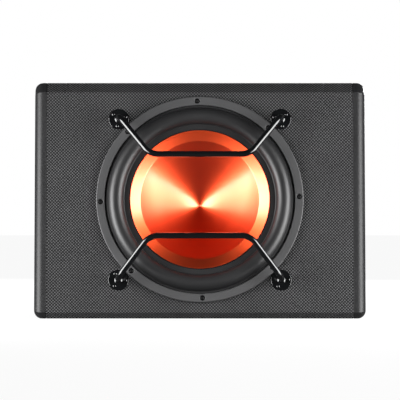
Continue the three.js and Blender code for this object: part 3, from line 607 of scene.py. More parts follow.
def addSidePanel(name, side):
    bm = bmesh.new()
    face = sideFace(bm)
    thickness = cabinet["sideThickness"] * mm
    outer = side * -sideLow.x
    made = bmesh.ops.extrude_face_region(bm, geom=[face])
    moved = pointsOf(made)
    bmesh.ops.translate(bm, vec=(outer, 0, 0), verts=moved)
    bmesh.ops.translate(bm, vec=(outer - side * thickness, 0, 0),
                        verts=[v for v in bm.verts if v not in moved])
    bmesh.ops.recalc_face_normals(bm, faces=bm.faces)
    for level, offset, steps in ((outer, cabinet["sideEdge"], 9),
                                 (outer - side * thickness, cabinet["innerEdge"], 3)):
        rim = [edge for edge in bm.edges if all(abs(v.co.x - level) < 1e-6 for v in edge.verts)]
        roundEdges(bm, rim, offset, steps)
    roundEdges(bm, [edge for edge in bm.edges if edge.calc_face_angle(0) > radians(25)], cabinet["fold"], 2)
    toPiece(name + "_board", bm, "side_vinyl", [name])


addSidePanel("left_side_panel", -1)
addSidePanel("right_side_panel", 1)


# Woven vinyl pulled round the boards, with the driver's and the amplifier's openings cut through it
def addCovering():
    bm = bmesh.new()
    face = sideFace(bm)
    ring = bmesh.ops.inset_region(bm, faces=[face], thickness=cabinet["sideProud"] * mm, use_even_offset=True)
    bmesh.ops.delete(bm, geom=ring["faces"], context="FACES")
    roundCorners(bm, [(corner, cabinet["foldRadius"] * mm) for corner in bm.faces[:][0].verts], 4)
    face = bm.faces[:][0]
    half = -sideLow.x - (cabinet["sideThickness"] + cabinet["seam"]) * mm
    bmesh.ops.translate(bm, vec=(-half, 0, 0), verts=bm.verts)
    made = bmesh.ops.extrude_face_region(bm, geom=[face])
    bmesh.ops.translate(bm, vec=(2 * half, 0, 0), verts=pointsOf(made))
    bmesh.ops.recalc_face_normals(bm, faces=bm.faces)
    # the weave follows the cloth round every fold
    weave = bm.loops.layers.uv.new("weave")
    bm.faces.ensure_lookup_table()
    end = next(f for f in bm.faces if all(abs(v.co.x + half) < 1e-6 for v in f.verts))
    run = 0.0
    for loop in end.loops:
        start, stop = loop.vert.co, loop.link_loop_next.vert.co
        length = (stop - start).length
        panel = next(f for f in loop.edge.link_faces if f is not end)
        for corner in panel.loops:
            atStop = (Vector(corner.vert.co.yz) - Vector(stop.yz)).length < 1e-6
            corner[weave].uv = (corner.vert.co.x, run + (length if atStop else 0))
        run += length
    ends = [f for f in bm.faces if abs(f.normal.x) > 0.9]
    bmesh.ops.delete(bm, geom=ends, context="FACES")
    piece = toPiece("woven_covering_skin", bm, "woven_vinyl", ["woven_covering"])
    wall = piece.modifiers.new("wall", "SOLIDIFY")
    wall.thickness = cabinet["coveringThickness"] * mm
    wall.offset = -1
    hole = bmesh.new()
    bmesh.ops.create_cone(hole, cap_ends=True, segments=128, radius1=cabinet["cutoutRadius"] * mm,
                          radius2=cabinet["cutoutRadius"] * mm, depth=60 * mm)
    bmesh.ops.transform(hole, matrix=driverPlace, verts=hole.verts)
    recess = bmesh.new()
    bmesh.ops.create_cube(recess, size=1)
    opening = boxSize("amp_housing") + Vector((2, 0, 2)) * mm
    bmesh.ops.scale(recess, vec=(opening.x, 60 * mm, opening.z), verts=recess.verts)
    bmesh.ops.translate(recess, vec=(0, ampFace, bezelMiddle.z), verts=recess.verts)
    carve(piece, [hole, recess])
    return piece


addCovering()
print("cabinet made")


# Driver, turned about its own axis; radii and levels in mm

ring = {"inner": 140, "outer": 152.5, "back": 2.6, "front": 7.3, "edge": 1.1, "holes": 8,
        "holeCircle": 146.25, "firstHole": 1.5, "holeRadius": 3.95, "cupDepth": 0.6}


def holePlaces():
    angles = [radians(ring["firstHole"]) + i * 2 * pi / ring["holes"] for i in range(ring["holes"])]
    around = [Vector((cos(angle), sin(angle), 0)) for angle in angles]
    return [Matrix.Translation(direction * ring["holeCircle"] * mm) for direction in around]


def addTrimRing():
    inner, outer, back, front, edge = [ring[key] for key in ("inner", "outer", "back", "front", "edge")]
    bm = turned([(inner, back), (outer, back), (outer, front, edge), (inner, front, edge)], 160, 5)
    piece = toPiece("trim_ring_moulding", bm, "satin_black_trim", ["trim_ring"], driverPlace)
    cutters = []
    hole, depth = ring["holeRadius"], ring["cupDepth"]
    for place in holePlaces():
        cup = turned([(0, -1), (hole, -1), (hole, front - depth), (hole + depth + 1, front + 1),
                      (0, front + 1)], 32)
        bmesh.ops.transform(cup, matrix=driverPlace @ place, verts=cup.verts)
        cutters.append(cup)
    carve(piece, cutters)
    return piece


dish = {"edge": 87.5, "rim": 102.7, "rimLevel": 5.2, "edgeLevel": -1.6, "apex": -65.5, "bend": 1.3,
        "thickness": 1.3, "edgeRounding": 2.5, "rimRoll": 0.7, "pip": 0.9}


def dishLevel(radius):
    return dish["apex"] + (dish["edgeLevel"] - dish["apex"]) * (radius / dish["edge"]) ** dish["bend"]


# The dish as (radius, level) points of its front, from the axis out to its edge
def dishFront():
    apex, pip = dish["apex"], dish["pip"]
    radii = [dish["edge"] * (i / 40) ** 1.25 for i in range(1, 41)]
    face = [(0, apex - 0.35), (pip * 0.6, apex - 0.3), (pip, apex + 0.25)]
    return face + [(radius, dishLevel(radius)) for radius in radii if radius > 2 * pip]


def addDish():
    inner = dishFront()
    outer = (dish["rim"] - dish["rimRoll"], dish["rimLevel"] - 0.25)
    roll = arcPoints(outer[0], outer[1] - 0.45, dish["rimRoll"], 90, -90, 8)
    front = [(*point, 0) for point in inner[:-1]] + [(*inner[-1], dish["edgeRounding"])]
    back = [(dish["edge"] * i / 12, dishLevel(dish["edge"] * i / 12) - dish["thickness"]) for i in range(13)]
    outline = front + roll + [(*back[-1], dish["edgeRounding"])] + back[-2::-1]
    bm = turned(outline, 160, 6)
    return toPiece("orange_dish", bm, "orange_metal", ["dust_dish"], driverPlace, "cone_body", 60)


surround = {"landing": 104, "rollInner": 112, "rollOuter": 136, "outer": 139.4, "back": 2.6, "thickness": 1.2,
            "junction": 1.4}


# The paper cone follows the back of the dish out to a flat lip under the surround
cone = {"neck": 25.9, "gap": 0.36, "wall": 2.0, "lipInner": 103.5, "lipOuter": 111.7, "lipFront": 2.3,
        "lip": 1.2}


def addCone():
    radii = [cone["neck"] + (dish["edge"] - cone["neck"]) * i / 18 for i in range(19)]
    offset = dish["thickness"] + cone["gap"]
    front = [(radius, dishLevel(radius) - offset) for radius in radii]
    back = [(radius, dishLevel(radius) - offset - cone["wall"]) for radius in radii]
    inner, outer, lipFront = cone["lipInner"], cone["lipOuter"], cone["lipFront"]
    lipBack = lipFront - cone["lip"]
    lip = [(inner + cone["wall"], lipBack, 0.5), (outer, lipBack, 0.4), (outer, lipFront, 0.4),
           (inner, lipFront, 0.3)]
    outline = back[:-1] + [(*back[-1], 4)] + lip + [(*front[-1], 2.5)] + front[-2::-1]
    return toPiece("paper_cone", turned(outline, 120, 4), "pressed_paper", ["cone"], driverPlace,
                   "cone_body")


# Each ring of the surround or the spider moves with its share of the way from the fixed edge to the cone
def shareTravel(piece, inner, outer):
    span = driverCentre + driverAxis * (30 * mm)
    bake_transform(piece, "cabinet_body", "cone_body", tuple(driverCentre), tuple(span))
    shares = piece.data.attributes["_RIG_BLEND"]
    for vertex, share in zip(piece.data.vertices, shares.data):
        away = vertex.co - driverCentre
        radius = (away - driverAxis * away.dot(driverAxis)).length
        t = min(1, max(0, (outer * mm - radius) / ((outer - inner) * mm)))
        share.value = t * t * (3 - 2 * t)


def addSurround():
    middle = (surround["rollInner"] + surround["rollOuter"]) / 2
    size = (surround["rollOuter"] - surround["rollInner"]) / 2
    front, back, thickness = surround["back"] + surround["thickness"], surround["back"], surround["thickness"]
    outerRoll = arcPoints(middle, front, size, 0, 180, 36)
    innerRoll = arcPoints(middle, back, size - thickness, 180, 0, 30)
    outer, landing, junction = surround["outer"], surround["landing"], surround["junction"]
    outline = [(outer, back), (outer, front, 0.4), (*outerRoll[0], junction)] + outerRoll[1:-1]
    outline += [(*outerRoll[-1], junction), (landing, front, 0.5), (landing, back)] + innerRoll
    bm = turned(outline, 144, 4)
    piece = toPiece("surround_roll", bm, "black_rubber", ["surround"], driverPlace, None, 50)
    shareTravel(piece, surround["rollInner"], surround["rollOuter"])


addTrimRing()
addDish()
addCone()
addSurround()
print("driver face made")


# Guard bars and their feet

guard = {"radius": 4.5, "foot": 119.5, "footLevel": 2.4, "knee": (119.5, 119.5, 34), "corner": (73, 60, 52),
         "kneeRounding": 15, "cornerRounding": 24, "footRadius": 15.2, "footBack": 0.3, "footFront": 3.0,
         "footEdge": 0.9, "weld": 1.2, "screwCircle": 10.5, "screwRadius": 2.3}


def addGuardBar(name, side):
    x, y, z = guard["knee"]
    cx, cy, cz = guard["corner"]
    bm = bmesh.new()
    foot, level = guard["foot"], guard["footLevel"]
    places = [(-foot, foot, level), (-x, y, z), (-cx, cy, cz), (cx, cy, cz), (x, y, z), (foot, foot, level)]
    points = [bm.verts.new(Vector((px, side * py, pz)) * mm) for px, py, pz in places]
    for pair in zip(points, points[1:]):
        bm.edges.new(pair)
    knee, corner = guard["kneeRounding"], guard["cornerRounding"]
    rounding = [0, knee, corner, corner, knee, 0]
    start = points[0]
    roundCorners(bm, [(point, size * mm) for point, size in zip(points, rounding)], 14)
    route, last, current = [start.co.copy()], None, start
    while True:
        beside = [edge.other_vert(current) for edge in current.link_edges]
        onward = [point for point in beside if point is not last]
        if not onward:
            break
        last, current = current, onward[0]
        route.append(current.co.copy())
    bm.free()
    curve = bpy.data.curves.new(name, "CURVE")
    curve.dimensions = "3D"
    curve.bevel_depth = guard["radius"] * mm
    curve.bevel_resolution = 8
    curve.use_fill_caps = True
    spline = curve.splines.new("POLY")
    spline.points.add(len(route) - 1)
    for point, place in zip(spline.points, route):
        point.co = (*(driverPlace @ place), 1)
    draft = bpy.data.objects.new(name, curve)
    bpy.context.scene.collection.objects.link(draft)
    bpy.context.view_layer.update()
    mesh = bpy.data.meshes.new_from_object(draft.evaluated_get(bpy.context.evaluated_depsgraph_get()))
    bpy.data.objects.remove(draft)
    bm = bmesh.new()
    bm.from_mesh(mesh)
    bmesh.ops.remove_doubles(bm, verts=bm.verts, dist=1e-6)
    bmesh.ops.recalc_face_normals(bm, faces=bm.faces)
    bpy.data.meshes.remove(mesh)
    return toPiece(name + "_tube", bm, "gloss_black_bar", [name])


for name, side in (("upper_guard_bar", 1), ("lower_guard_bar", -1)):
    addGuardBar(name, side)
for name, x, y in (("upper_left_guard_foot", -1, 1), ("upper_right_guard_foot", 1, 1),
                   ("lower_left_guard_foot", -1, -1), ("lower_right_guard_foot", 1, -1)):
    front, back = guard["footFront"], guard["footBack"]
    collar = guard["radius"] + guard["weld"]
    bm = turned([(0, back), (guard["footRadius"], back), (guard["footRadius"], front, guard["footEdge"]),
                 (collar, front, guard["weld"] * 0.8), (guard["radius"] - 0.4, front + guard["weld"]),
                 (0, front + guard["weld"])], 72, 5)
    place = driverPlace @ shift(x * guard["foot"], y * guard["foot"])
    toPiece(name + "_disc", bm, "gloss_black_bar", [name], place)
print("guard bars made")

# Screws, drawn once at the origin and set down where they are needed; sizes in mm
driverScrew = {"radius": 3.7, "height": 2.8, "shank": 2.2, "reach": 14, "point": 3, "threads": 7,
               "pitch": 1.3, "cross": (1.0, 4.6, 1.6)}
footScrew = {"radius": 2.4, "height": 1.3, "shank": 1.2, "reach": 2.4, "point": 0.6, "threads": 0,
             "pitch": 1.3, "cross": (0.5, 2.6, 0.8)}


def crossHeadScrew(size, seat):
    shank, pitch, radius, height = size["shank"], size["pitch"], size["radius"], size["height"]
    tip = seat - size["reach"]
    outline = [(0, tip), (shank * 0.3, tip), (shank, tip + size["point"])]
    for i in range(size["threads"]):
        level = tip + size["point"] + i * pitch
        outline += [(shank, level), (shank * 0.78, level + pitch / 2)]
    outline += [(shank, seat), (radius, seat), (radius, seat + height * 0.45, height * 0.4),
                (radius * 0.55, seat + height, height * 0.3), (0, seat + height)]
    bm = turned(outline, 24, 4)
    cutters = []
    width, length, depth = size["cross"]
    for turn in (0, pi / 2):
        slot = bmesh.new()
        bmesh.ops.create_cone(slot, cap_ends=True, segments=4, radius1=0.35, radius2=sqrt(0.5), depth=1)
        bmesh.ops.rotate(slot, cent=(0, 0, 0), matrix=Matrix.Rotation(pi / 4, 3, "Z"), verts=slot.verts)
        bmesh.ops.scale(slot, vec=(length * mm, width * mm, 2 * depth * mm), verts=slot.verts)
        bmesh.ops.rotate(slot, cent=(0, 0, 0), matrix=Matrix.Rotation(turn, 3, "Z"), verts=slot.verts)
        bmesh.ops.translate(slot, vec=(0, 0, (seat + height) * mm), verts=slot.verts)
        cutters.append(slot)
    return carved(bm, cutters)


def setDown(pattern, place):
    bm = pattern.copy()
    bmesh.ops.transform(bm, matrix=place, verts=bm.verts)
    return bm


pattern = crossHeadScrew(driverScrew, ring["back"])
for i, place in enumerate(holePlaces()):
    turn = Matrix.Rotation(0.7 * i, 4, "Z")
    node = f"driver_screw_{i + 1}"
    toPiece(node + "_cross_head", setDown(pattern, place @ turn), "black_steel", [node], driverPlace)
pattern.free()

pattern = crossHeadScrew(footScrew, guard["footFront"])
for name, x, y, firstTurn in (("upper_left", -1, 1, 18), ("upper_right", 1, 1, 42),
                              ("lower_left", -1, -1, -3), ("lower_right", 1, -1, 3)):
    for i in range(3):
        angle = radians(firstTurn + 120 * i)
        spot = Vector((x * guard["foot"] + guard["screwCircle"] * cos(angle),
                       y * guard["foot"] + guard["screwCircle"] * sin(angle), 0)) * mm
        place = Matrix.Translation(spot) @ Matrix.Rotation(i, 4, "Z")
        toPiece(f"{name}_foot_screw_{i + 1}", setDown(pattern, place), "gloss_black_bar", (), driverPlace)
pattern.free()
print("screws made")


# The motor behind the cone; radii and levels in mm
motor = {"former": 25.6, "winding": 27.3, "windingHeight": 24, "turnsShown": 30,
         "plateFront": -80, "plate": 8, "plateInner": 28.3, "plateOuter": 68, "magnetInner": 33.3,
         "magnetOuter": 70, "magnet": 29.7, "gap": 0.3, "yoke": 8, "yokeOuter": 66, "pole": 24.3,
         "poleProud": 0.5, "vent": 8,
         "boot": 2, "bootInner": 70.6, "bootOpening": 12, "edge": 0.8}
spider = {"neck": 25.9, "firstCrest": 28.9, "flat": 64, "radius": 74, "level": -64.7, "thickness": 1.0,
          "wave": 1.8, "waves": 6}


def addMotor():
    front = motor["plateFront"]
    back = front - motor["plate"]
    magnetFront, magnetBack = back - motor["gap"], back - motor["gap"] - motor["magnet"]
    yokeFront, yokeBack = magnetBack - motor["gap"], magnetBack - motor["gap"] - motor["yoke"]
    edge, poleTop = motor["edge"], front + motor["poleProud"]
    inner, outer = motor["plateInner"], motor["plateOuter"]
    magnetInner, magnetOuter = motor["magnetInner"], motor["magnetOuter"]
    vent, pole, yokeOuter = motor["vent"], motor["pole"], motor["yokeOuter"]
    opening, bootInner = motor["bootOpening"], motor["bootInner"]
    bootOuter = bootInner + motor["boot"]
    inside, bootFront = yokeBack - motor["gap"], front - motor["boot"]
    for name, materialName, node, outline in (
            ("front_plate", "zinc_steel", "top_plate",
             [(inner, back, 0.3), (outer, back, edge), (outer, front, edge), (inner, front, 0.3)]),
            ("ferrite_ring", "ferrite", "magnet",
             [(magnetInner, magnetBack, 1), (magnetOuter, magnetBack, 2), (magnetOuter, magnetFront, 2),
              (magnetInner, magnetFront, 1)]),
            ("vented_yoke", "zinc_steel", "yoke",
             [(vent, yokeBack, 1.5), (yokeOuter, yokeBack, 2), (yokeOuter, yokeFront, edge),
              (pole, yokeFront, 1.2), (pole, poleTop, edge), (vent, poleTop, 1.5)]),
            ("rubber_boot", "black_rubber", "magnet_boot",
             [(opening, inside - motor["boot"], 0.6), (bootOuter, inside - motor["boot"], 5),
              (bootOuter, bootFront, 0.8), (bootInner, bootFront, 0.8), (bootInner, inside, 3),
              (opening, inside, 0.6)])):
        toPiece(name, turned(outline, 96), materialName, [node], driverPlace)

    middle = (front + back) / 2
    high, low = middle + motor["windingHeight"] / 2, middle - motor["windingHeight"] / 2
    wire = (high - low) / motor["turnsShown"]
    wound = [(motor["former"] + motor["gap"], low)]
    for i in range(motor["turnsShown"]):
        wound += [(motor["winding"] - 0.25, low + i * wire), (motor["winding"], low + (i + 0.5) * wire)]
    wound += [(motor["winding"] - 0.25, high), (motor["former"] + motor["gap"], high)]
    toPiece("wound_coil", turned(wound, 72), "copper_wire", ["voice_coil"], driverPlace, "cone_body")


# Corrugated cloth, flat where it is glued to the basket; its inner edge moves with the coil
def addSpider():
    span = spider["flat"] - spider["firstCrest"]
    steps = 8 * spider["waves"]
    wavy = [(spider["neck"], spider["level"] + spider["thickness"])]
    for i in range(steps + 1):
        drop = spider["wave"] * (0.5 - 0.5 * cos(2 * pi * i * spider["waves"] / 2 / steps))
        wavy.append((spider["firstCrest"] + span * i / steps, spider["level"] + spider["thickness"] - drop))
    back = wavy + [(spider["flat"] + 4.5, spider["level"], 0.6), (spider["radius"], spider["level"], 0.2)]
    front = [(radius, level + spider["thickness"]) for radius, level in wavy]
    front += [(spider["flat"] + 4, spider["level"] + spider["thickness"], 0.6),
              (spider["radius"], spider["level"] + spider["thickness"], 0.2)]
    bm = turned(back + front[::-1], 96, 3)
    piece = toPiece("corrugated_spider", bm, "spider_cloth", ["spider"], driverPlace, None)
    shareTravel(piece, spider["firstCrest"], spider["flat"])


addMotor()
addSpider()


wadding = {"cuts": 22, "edge": 0.45, "crown": 0.45, "broadLump": 0.06, "fineLump": 0.03, "ripple": 0.02,
           "pull": 0.05, "fill": 0.5}


# Fleece behind the driver, crowned and lumpy, a little inside the space it is given
def addWadding():
    low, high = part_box("acoustic_wadding")
    size, middle = high - low, (low + high) / 2
    bm = bmesh.new()
    bmesh.ops.create_cube(bm, size=2)
    bmesh.ops.subdivide_edges(bm, edges=bm.edges, cuts=wadding["cuts"], use_grid_fill=True)
    for vertex in bm.verts:
        x, y, z = vertex.co
        crown = max(0.0, (1 - x ** 6)) * max(0.0, (1 - z ** 6))
        lump = wadding["broadLump"] * sin(9 * x + 2 * z) * sin(7 * z - 3 * x)
        lump = lump + wadding["fineLump"] * sin(23 * x) * sin(19 * z)
        lift = 0.5 if abs(y) > 0.5 else 0.0
        vertex.co.y = y * (wadding["edge"] + wadding["crown"] * crown) + lump * crown * lift
        vertex.co.x = x * (1 - wadding["ripple"] * (1 + sin(11 * z)) - wadding["pull"] * y * y)
        vertex.co.z = z * (1 - wadding["ripple"] * (1 + sin(13 * x)) - wadding["pull"] * y * y)
    bmesh.ops.smooth_vert(bm, verts=bm.verts, factor=0.5, use_axis_x=True, use_axis_y=True, use_axis_z=True)
    bmesh.ops.scale(bm, vec=size / 2, verts=bm.verts)
    bmesh.ops.translate(bm, vec=middle, verts=bm.verts)
    piece = toPiece("fleece_wadding", bm, "fleece", ["acoustic_wadding"], sharpAngle=180)


addWadding()
print("inside made")


# Amplifier, in its own frame: X to the right seen from behind, Y up, Z out of the back; sizes in mm

bezel = {"width": 286, "height": 196, "corner": 8, "opening": (250, 160), "wall": 2, "back": 0.3,
         "front": 3.3, "depth": -16, "edge": 1.2, "screws": (134, 89), "screwHole": 2.5}
plate = {"width": 254, "height": 164, "corner": 8, "back": -18.3, "front": -16.3, "shaftHole": 3.5,
         "slot": (5, 10)}
controls = {"base": -16.0, "top": -6.7, "row": 46, "middle": 4, "lamp": 76, "switch": (102, 46),
            "knobs": {"gain_knob": 14, "crossover_knob": 44, "bass_boost_knob": 74}}


# One closed wall from rounded rectangles given as (width, height, corner radius, level), joined in turn
def lofted(sections, centre=(0, 0), ring=False, steps=6):
    bm = bmesh.new()
    middle = Vector((*centre, 0)) * mm
    width, height, radius, level = [size * mm for size in sections[0]]
    corners = [bm.verts.new(middle + Vector((across * width / 2, along * height / 2, level)))
               for across, along in ((1, 1), (-1, 1), (-1, -1), (1, -1))]
    for i in range(4):
        bm.edges.new((corners[i - 1], corners[i]))
    roundCorners(bm, [(corner, radius) for corner in corners], steps)
    first = bm.edges[:]
    loop = first
    for section in sections[1:] + ([sections[0]] if ring else []):
        newWidth, newHeight, newRadius, newLevel = [size * mm for size in section]
        added = bmesh.ops.extrude_edge_only(bm, edges=loop)
        verts = pointsOf(added)
        loop = [item for item in added["geom"] if isinstance(item, bmesh.types.BMEdge)
                and item.verts[0] in verts and item.verts[1] in verts]
        for vert in verts:
            spot = vert.co - middle
            across, along = (1 if spot.x > 0 else -1), (1 if spot.y > 0 else -1)
            corner = Vector((across * (width / 2 - radius), along * (height / 2 - radius)))
            swing = (spot.xy - corner) / radius
            vert.co.x = middle.x + across * (newWidth / 2 - newRadius) + swing.x * newRadius
            vert.co.y = middle.y + along * (newHeight / 2 - newRadius) + swing.y * newRadius
            vert.co.z = newLevel
        width, height, radius = newWidth, newHeight, newRadius
    if ring:
        bmesh.ops.remove_doubles(bm, verts=bm.verts, dist=1e-6)
    else:
        for rim in (first, loop):
            bmesh.ops.edgeloop_fill(bm, edges=rim)
    bmesh.ops.recalc_face_normals(bm, faces=bm.faces)
    return bm


def upright(radius, low, high, spot, steps=32):
    bm = bmesh.new()
    bmesh.ops.create_cone(bm, cap_ends=True, segments=steps, radius1=radius * mm, radius2=radius * mm,
                          depth=(high - low) * mm)
    bmesh.ops.translate(bm, vec=Vector((spot[0], spot[1], (low + high) / 2)) * mm, verts=bm.verts)
    return bm


def bar(centre, size, bevel=0.0, turn=0.0):
    bm = bmesh.new()
    bmesh.ops.create_cube(bm, size=1)
    bmesh.ops.scale(bm, vec=Vector(size) * mm, verts=bm.verts)
    if bevel:
        roundEdges(bm, bm.edges[:], bevel, 2)
    bmesh.ops.rotate(bm, cent=(0, 0, 0), matrix=Matrix.Rotation(turn, 3, "Z"), verts=bm.verts)
    bmesh.ops.translate(bm, vec=Vector(centre) * mm, verts=bm.verts)
    return bm


def together(parts):
    bm = bmesh.new()
    for part in parts:
        mesh = bpy.data.meshes.new("part")
        part.to_mesh(mesh)
        part.free()
        bm.from_mesh(mesh)
        bpy.data.meshes.remove(mesh)
    return bm


def addBezel():
    width, height, corner = bezel["width"], bezel["height"], bezel["corner"]
    openWidth, openHeight = bezel["opening"]
    wall, front = 2 * bezel["wall"], bezel["front"]
    bm = lofted([(width, height, corner, bezel["back"]), (width, height, corner, front),
                 (openWidth, openHeight, corner, front), (openWidth, openHeight, corner, bezel["depth"]),
                 (openWidth + wall, openHeight + wall, corner + 2, bezel["depth"]),
                 (openWidth + wall, openHeight + wall, corner + 2, bezel["back"])], ring=True)
    rims = [edge for edge in bm.edges if all(abs(v.co.z - front * mm) < 1e-7 for v in edge.verts)
            and edge.calc_face_angle(0) > radians(60)]
    roundEdges(bm, rims, bezel["edge"], 4)
    x, y = bezel["screws"]
    holes = [upright(bezel["screwHole"], bezel["back"] - 2, front + 2, spot, 24)
             for spot in ((-x, -y), (-x, y), (x, -y), (x, y))]
    toPiece("moulded_bezel", carved(bm, holes), "black_plastic", ["amp_bezel"], ampPlace)


def addPlate():
    bm = lofted([(plate["width"], plate["height"], plate["corner"], plate["back"]),
                 (plate["width"], plate["height"], plate["corner"], plate["front"])])
    cutters = [upright(plate["shaftHole"], plate["back"] - 1, plate["front"] + 1, (x, controls["row"]))
               for x in controls["knobs"].values()]
    x, y = controls["switch"]
    cutters.append(bar((x, y + 2, plate["front"] - 1), (plate["slot"][0], plate["slot"][1], 4)))
    toPiece("brushed_control_plate", carved(bm, cutters), "bare_aluminium", ["control_plate"], ampPlace)


# Printed dial marks and frames round the sockets, without lettering
marks = {"tick": (0.5, 2.2), "endTick": (0.8, 3.2), "count": 11, "sweep": 300, "radius": 10.8, "height": 0.12,
         "frameLine": 0.5, "frames": (((23, 4), (36, 17)), ((56, 4), (20, 17)), ((98, 4), (31, 19)),
                                      ((32, -46), (51, 27)), ((92, -46), (35, 21)))}


def addMarks():
    level = plate["front"] + marks["height"] / 2
    parts = []
    for x in controls["knobs"].values():
        for i in range(marks["count"]):
            atEnd = i in (0, marks["count"] // 2, marks["count"] - 1)
            width, length = marks["endTick"] if atEnd else marks["tick"]
            angle = radians(90 + marks["sweep"] / 2 - marks["sweep"] * i / (marks["count"] - 1))
            reach = marks["radius"] + length / 2
            parts.append(bar((x + reach * cos(angle), controls["row"] + reach * sin(angle), level),
                             (length, width, marks["height"]), 0, angle))
    x, y = controls["switch"]
    for offset in (-1.5, 5.5):
        parts.append(bar((x + 6.5, y + offset, level), (4, 0.6, marks["height"])))
    line = marks["frameLine"]
    for (x, y), (width, height) in marks["frames"]:
        for side in (-1, 1):
            parts.append(bar((x, y + side * height / 2, level), (width, line, marks["height"])))
            parts.append(bar((x + side * width / 2, y, level), (line, height + line, marks["height"])))
    toPiece("plate_marks", together(parts), "black_plastic", (), ampPlace)


heatsink = {"fins": 9, "pitch": 11.5, "thickness": 2.2, "base": 3, "length": 136, "place": -66, "edge": 0.7,
            "endEdge": 0.25}


def addHeatsink():
    low, top = controls["base"], controls["top"]
    width = heatsink["pitch"] * (heatsink["fins"] - 1) + heatsink["thickness"]
    base = heatsink["base"]
    bm = bmesh.new()
    # the comb's outline, then pushed along the fins
    start = -width / 2
    outline = [(start, low), (-start, low)]
    for i in reversed(range(heatsink["fins"])):
        left = start + i * heatsink["pitch"]
        right = left + heatsink["thickness"]
        outline += [(right, top), (left, top)]
        if i:
            outline += [(left, low + base), (right - heatsink["pitch"], low + base)]
    corners = [bm.verts.new(Vector((heatsink["place"] + x, -heatsink["length"] / 2, z)) * mm)
               for x, z in outline]
    face = bm.faces.new(corners)
    high = [v for v, (x, z) in zip(corners, outline) if z == top]
    inner = [v for v, (x, z) in zip(corners, outline) if z == low + base]
    roundCorners(bm, [(v, heatsink["edge"] * mm) for v in high + inner], 3)
    made = bmesh.ops.extrude_face_region(bm, geom=bm.faces[:])
    bmesh.ops.translate(bm, vec=(0, heatsink["length"] * mm, 0), verts=pointsOf(made))
    bmesh.ops.recalc_face_normals(bm, faces=bm.faces)
    rims = [edge for edge in bm.edges if abs(edge.verts[0].co.y - edge.verts[1].co.y) < 1e-7
            and edge.calc_face_angle(0) > radians(60)]
    roundEdges(bm, rims, heatsink["endEdge"], 1)
    toPiece("finned_heatsink", bm, "black_steel", ["heatsink"], ampPlace)


knob = {"radius": 8, "shaft": 3, "shaftBack": -20.3, "under": -15.0, "edge": 1.0, "flutes": 20, "flute": 0.45,
        "notch": (1.6, 5.4, 1.4), "pointer": (1.2, 4.6, 0.9)}


def addKnobs():
    top = controls["top"]
    size, shaft, shaftBack = knob["radius"], knob["shaft"], knob["shaftBack"]
    under, edge = knob["under"], knob["edge"]
    for name, x in controls["knobs"].items():
        bm = turned([(0, shaftBack), (shaft, shaftBack, 0.4), (shaft, under), (size, under, 0.4),
                     (size, top - edge * 1.6, 0.5), (size - edge * 0.9, top, 0.8), (size - 3, top, 0.5),
                     (size - 3.6, top - 0.5, 0.3), (0, top - 0.5)], 160, 3)
        for vertex in bm.verts:
            radius = Vector(vertex.co.xy).length / mm
            if radius > size - 0.5:
                turn = atan2(vertex.co.y, vertex.co.x)
                dent = knob["flute"] * (0.5 - 0.5 * cos(knob["flutes"] * turn)) ** 2
                vertex.co.xy *= (radius - dent) / radius
        notch = bar((0, size - 2.6, top), knob["notch"])
        place = ampPlace @ shift(x, controls["row"])
        toPiece(name + "_cap", carved(bm, [notch]), "black_plastic", [name], place, name + "_body")
        pointer = bar((0, size - 2.8, top - 0.5), knob["pointer"], 0.15)
        toPiece(name + "_pointer", pointer, "white_plastic", (), place, name + "_body")


def addSwitch():
    x, y = controls["switch"]
    top = controls["base"] + 5
    low = plate["back"] - 2
    ridges = [bar((x, y + offset, top - 0.1), (5, 0.5, 0.6)) for offset in (-1.5, -0.5, 0.5, 1.5)]
    body = bar((x, y, (top + low) / 2), (4, 5, top - low), 0.35)
    toPiece("phase_switch_slider", carved(body, ridges), "white_plastic", ["phase_switch"], ampPlace,
            "phase_switch_body")


phono = {"bore": 1.7, "washer": 4.15, "washerHeight": 2.6, "core": 3.1, "coreBelow": 1.2, "sleeveInner": 3.15,
         "sleeve": 4.05, "sleeveSeat": 2.65, "contactInner": 1.25, "contact": 1.6, "contactBelow": 1.6}


# Phono sockets: a coloured insulator in a plated sleeve, on a coloured washer
def addPhonoSocket(name, x, plastic):
    low, top = controls["base"], controls["top"]
    place = ampPlace @ shift(x, controls["middle"])
    bore, washer, core, sleeve = phono["bore"], phono["washer"], phono["core"], phono["sleeve"]
    step, end = low + phono["washerHeight"], top - phono["coreBelow"]
    bm = turned([(bore, low), (washer, low), (washer, step, 0.3), (core, step), (core, end, 0.2),
                 (bore, end, 0.4)], 48)
    toPiece(name + "_insulator", bm, plastic, [name], place)
    seat, inner = low + phono["sleeveSeat"], phono["sleeveInner"]
    bm = turned([(inner, seat), (sleeve, seat), (sleeve, top, 0.35), (3.5, top, 0.2), (inner, top - 0.5)], 48)
    toPiece(name + "_sleeve", bm, "zinc_steel", (), place)
    inner, outer, end = phono["contactInner"], phono["contact"], top - phono["contactBelow"]
    bm = turned([(inner, low), (outer, low), (outer, end, 0.1), (inner, end, 0.1)], 24)
    toPiece(name + "_contact", bm, "zinc_steel", (), place)


boxSocket = {"wall": 3.0, "mouth": 0.4, "floor": 1.5, "pin": (1.2, 2.8, 6.4), "pinLevel": 4.6}


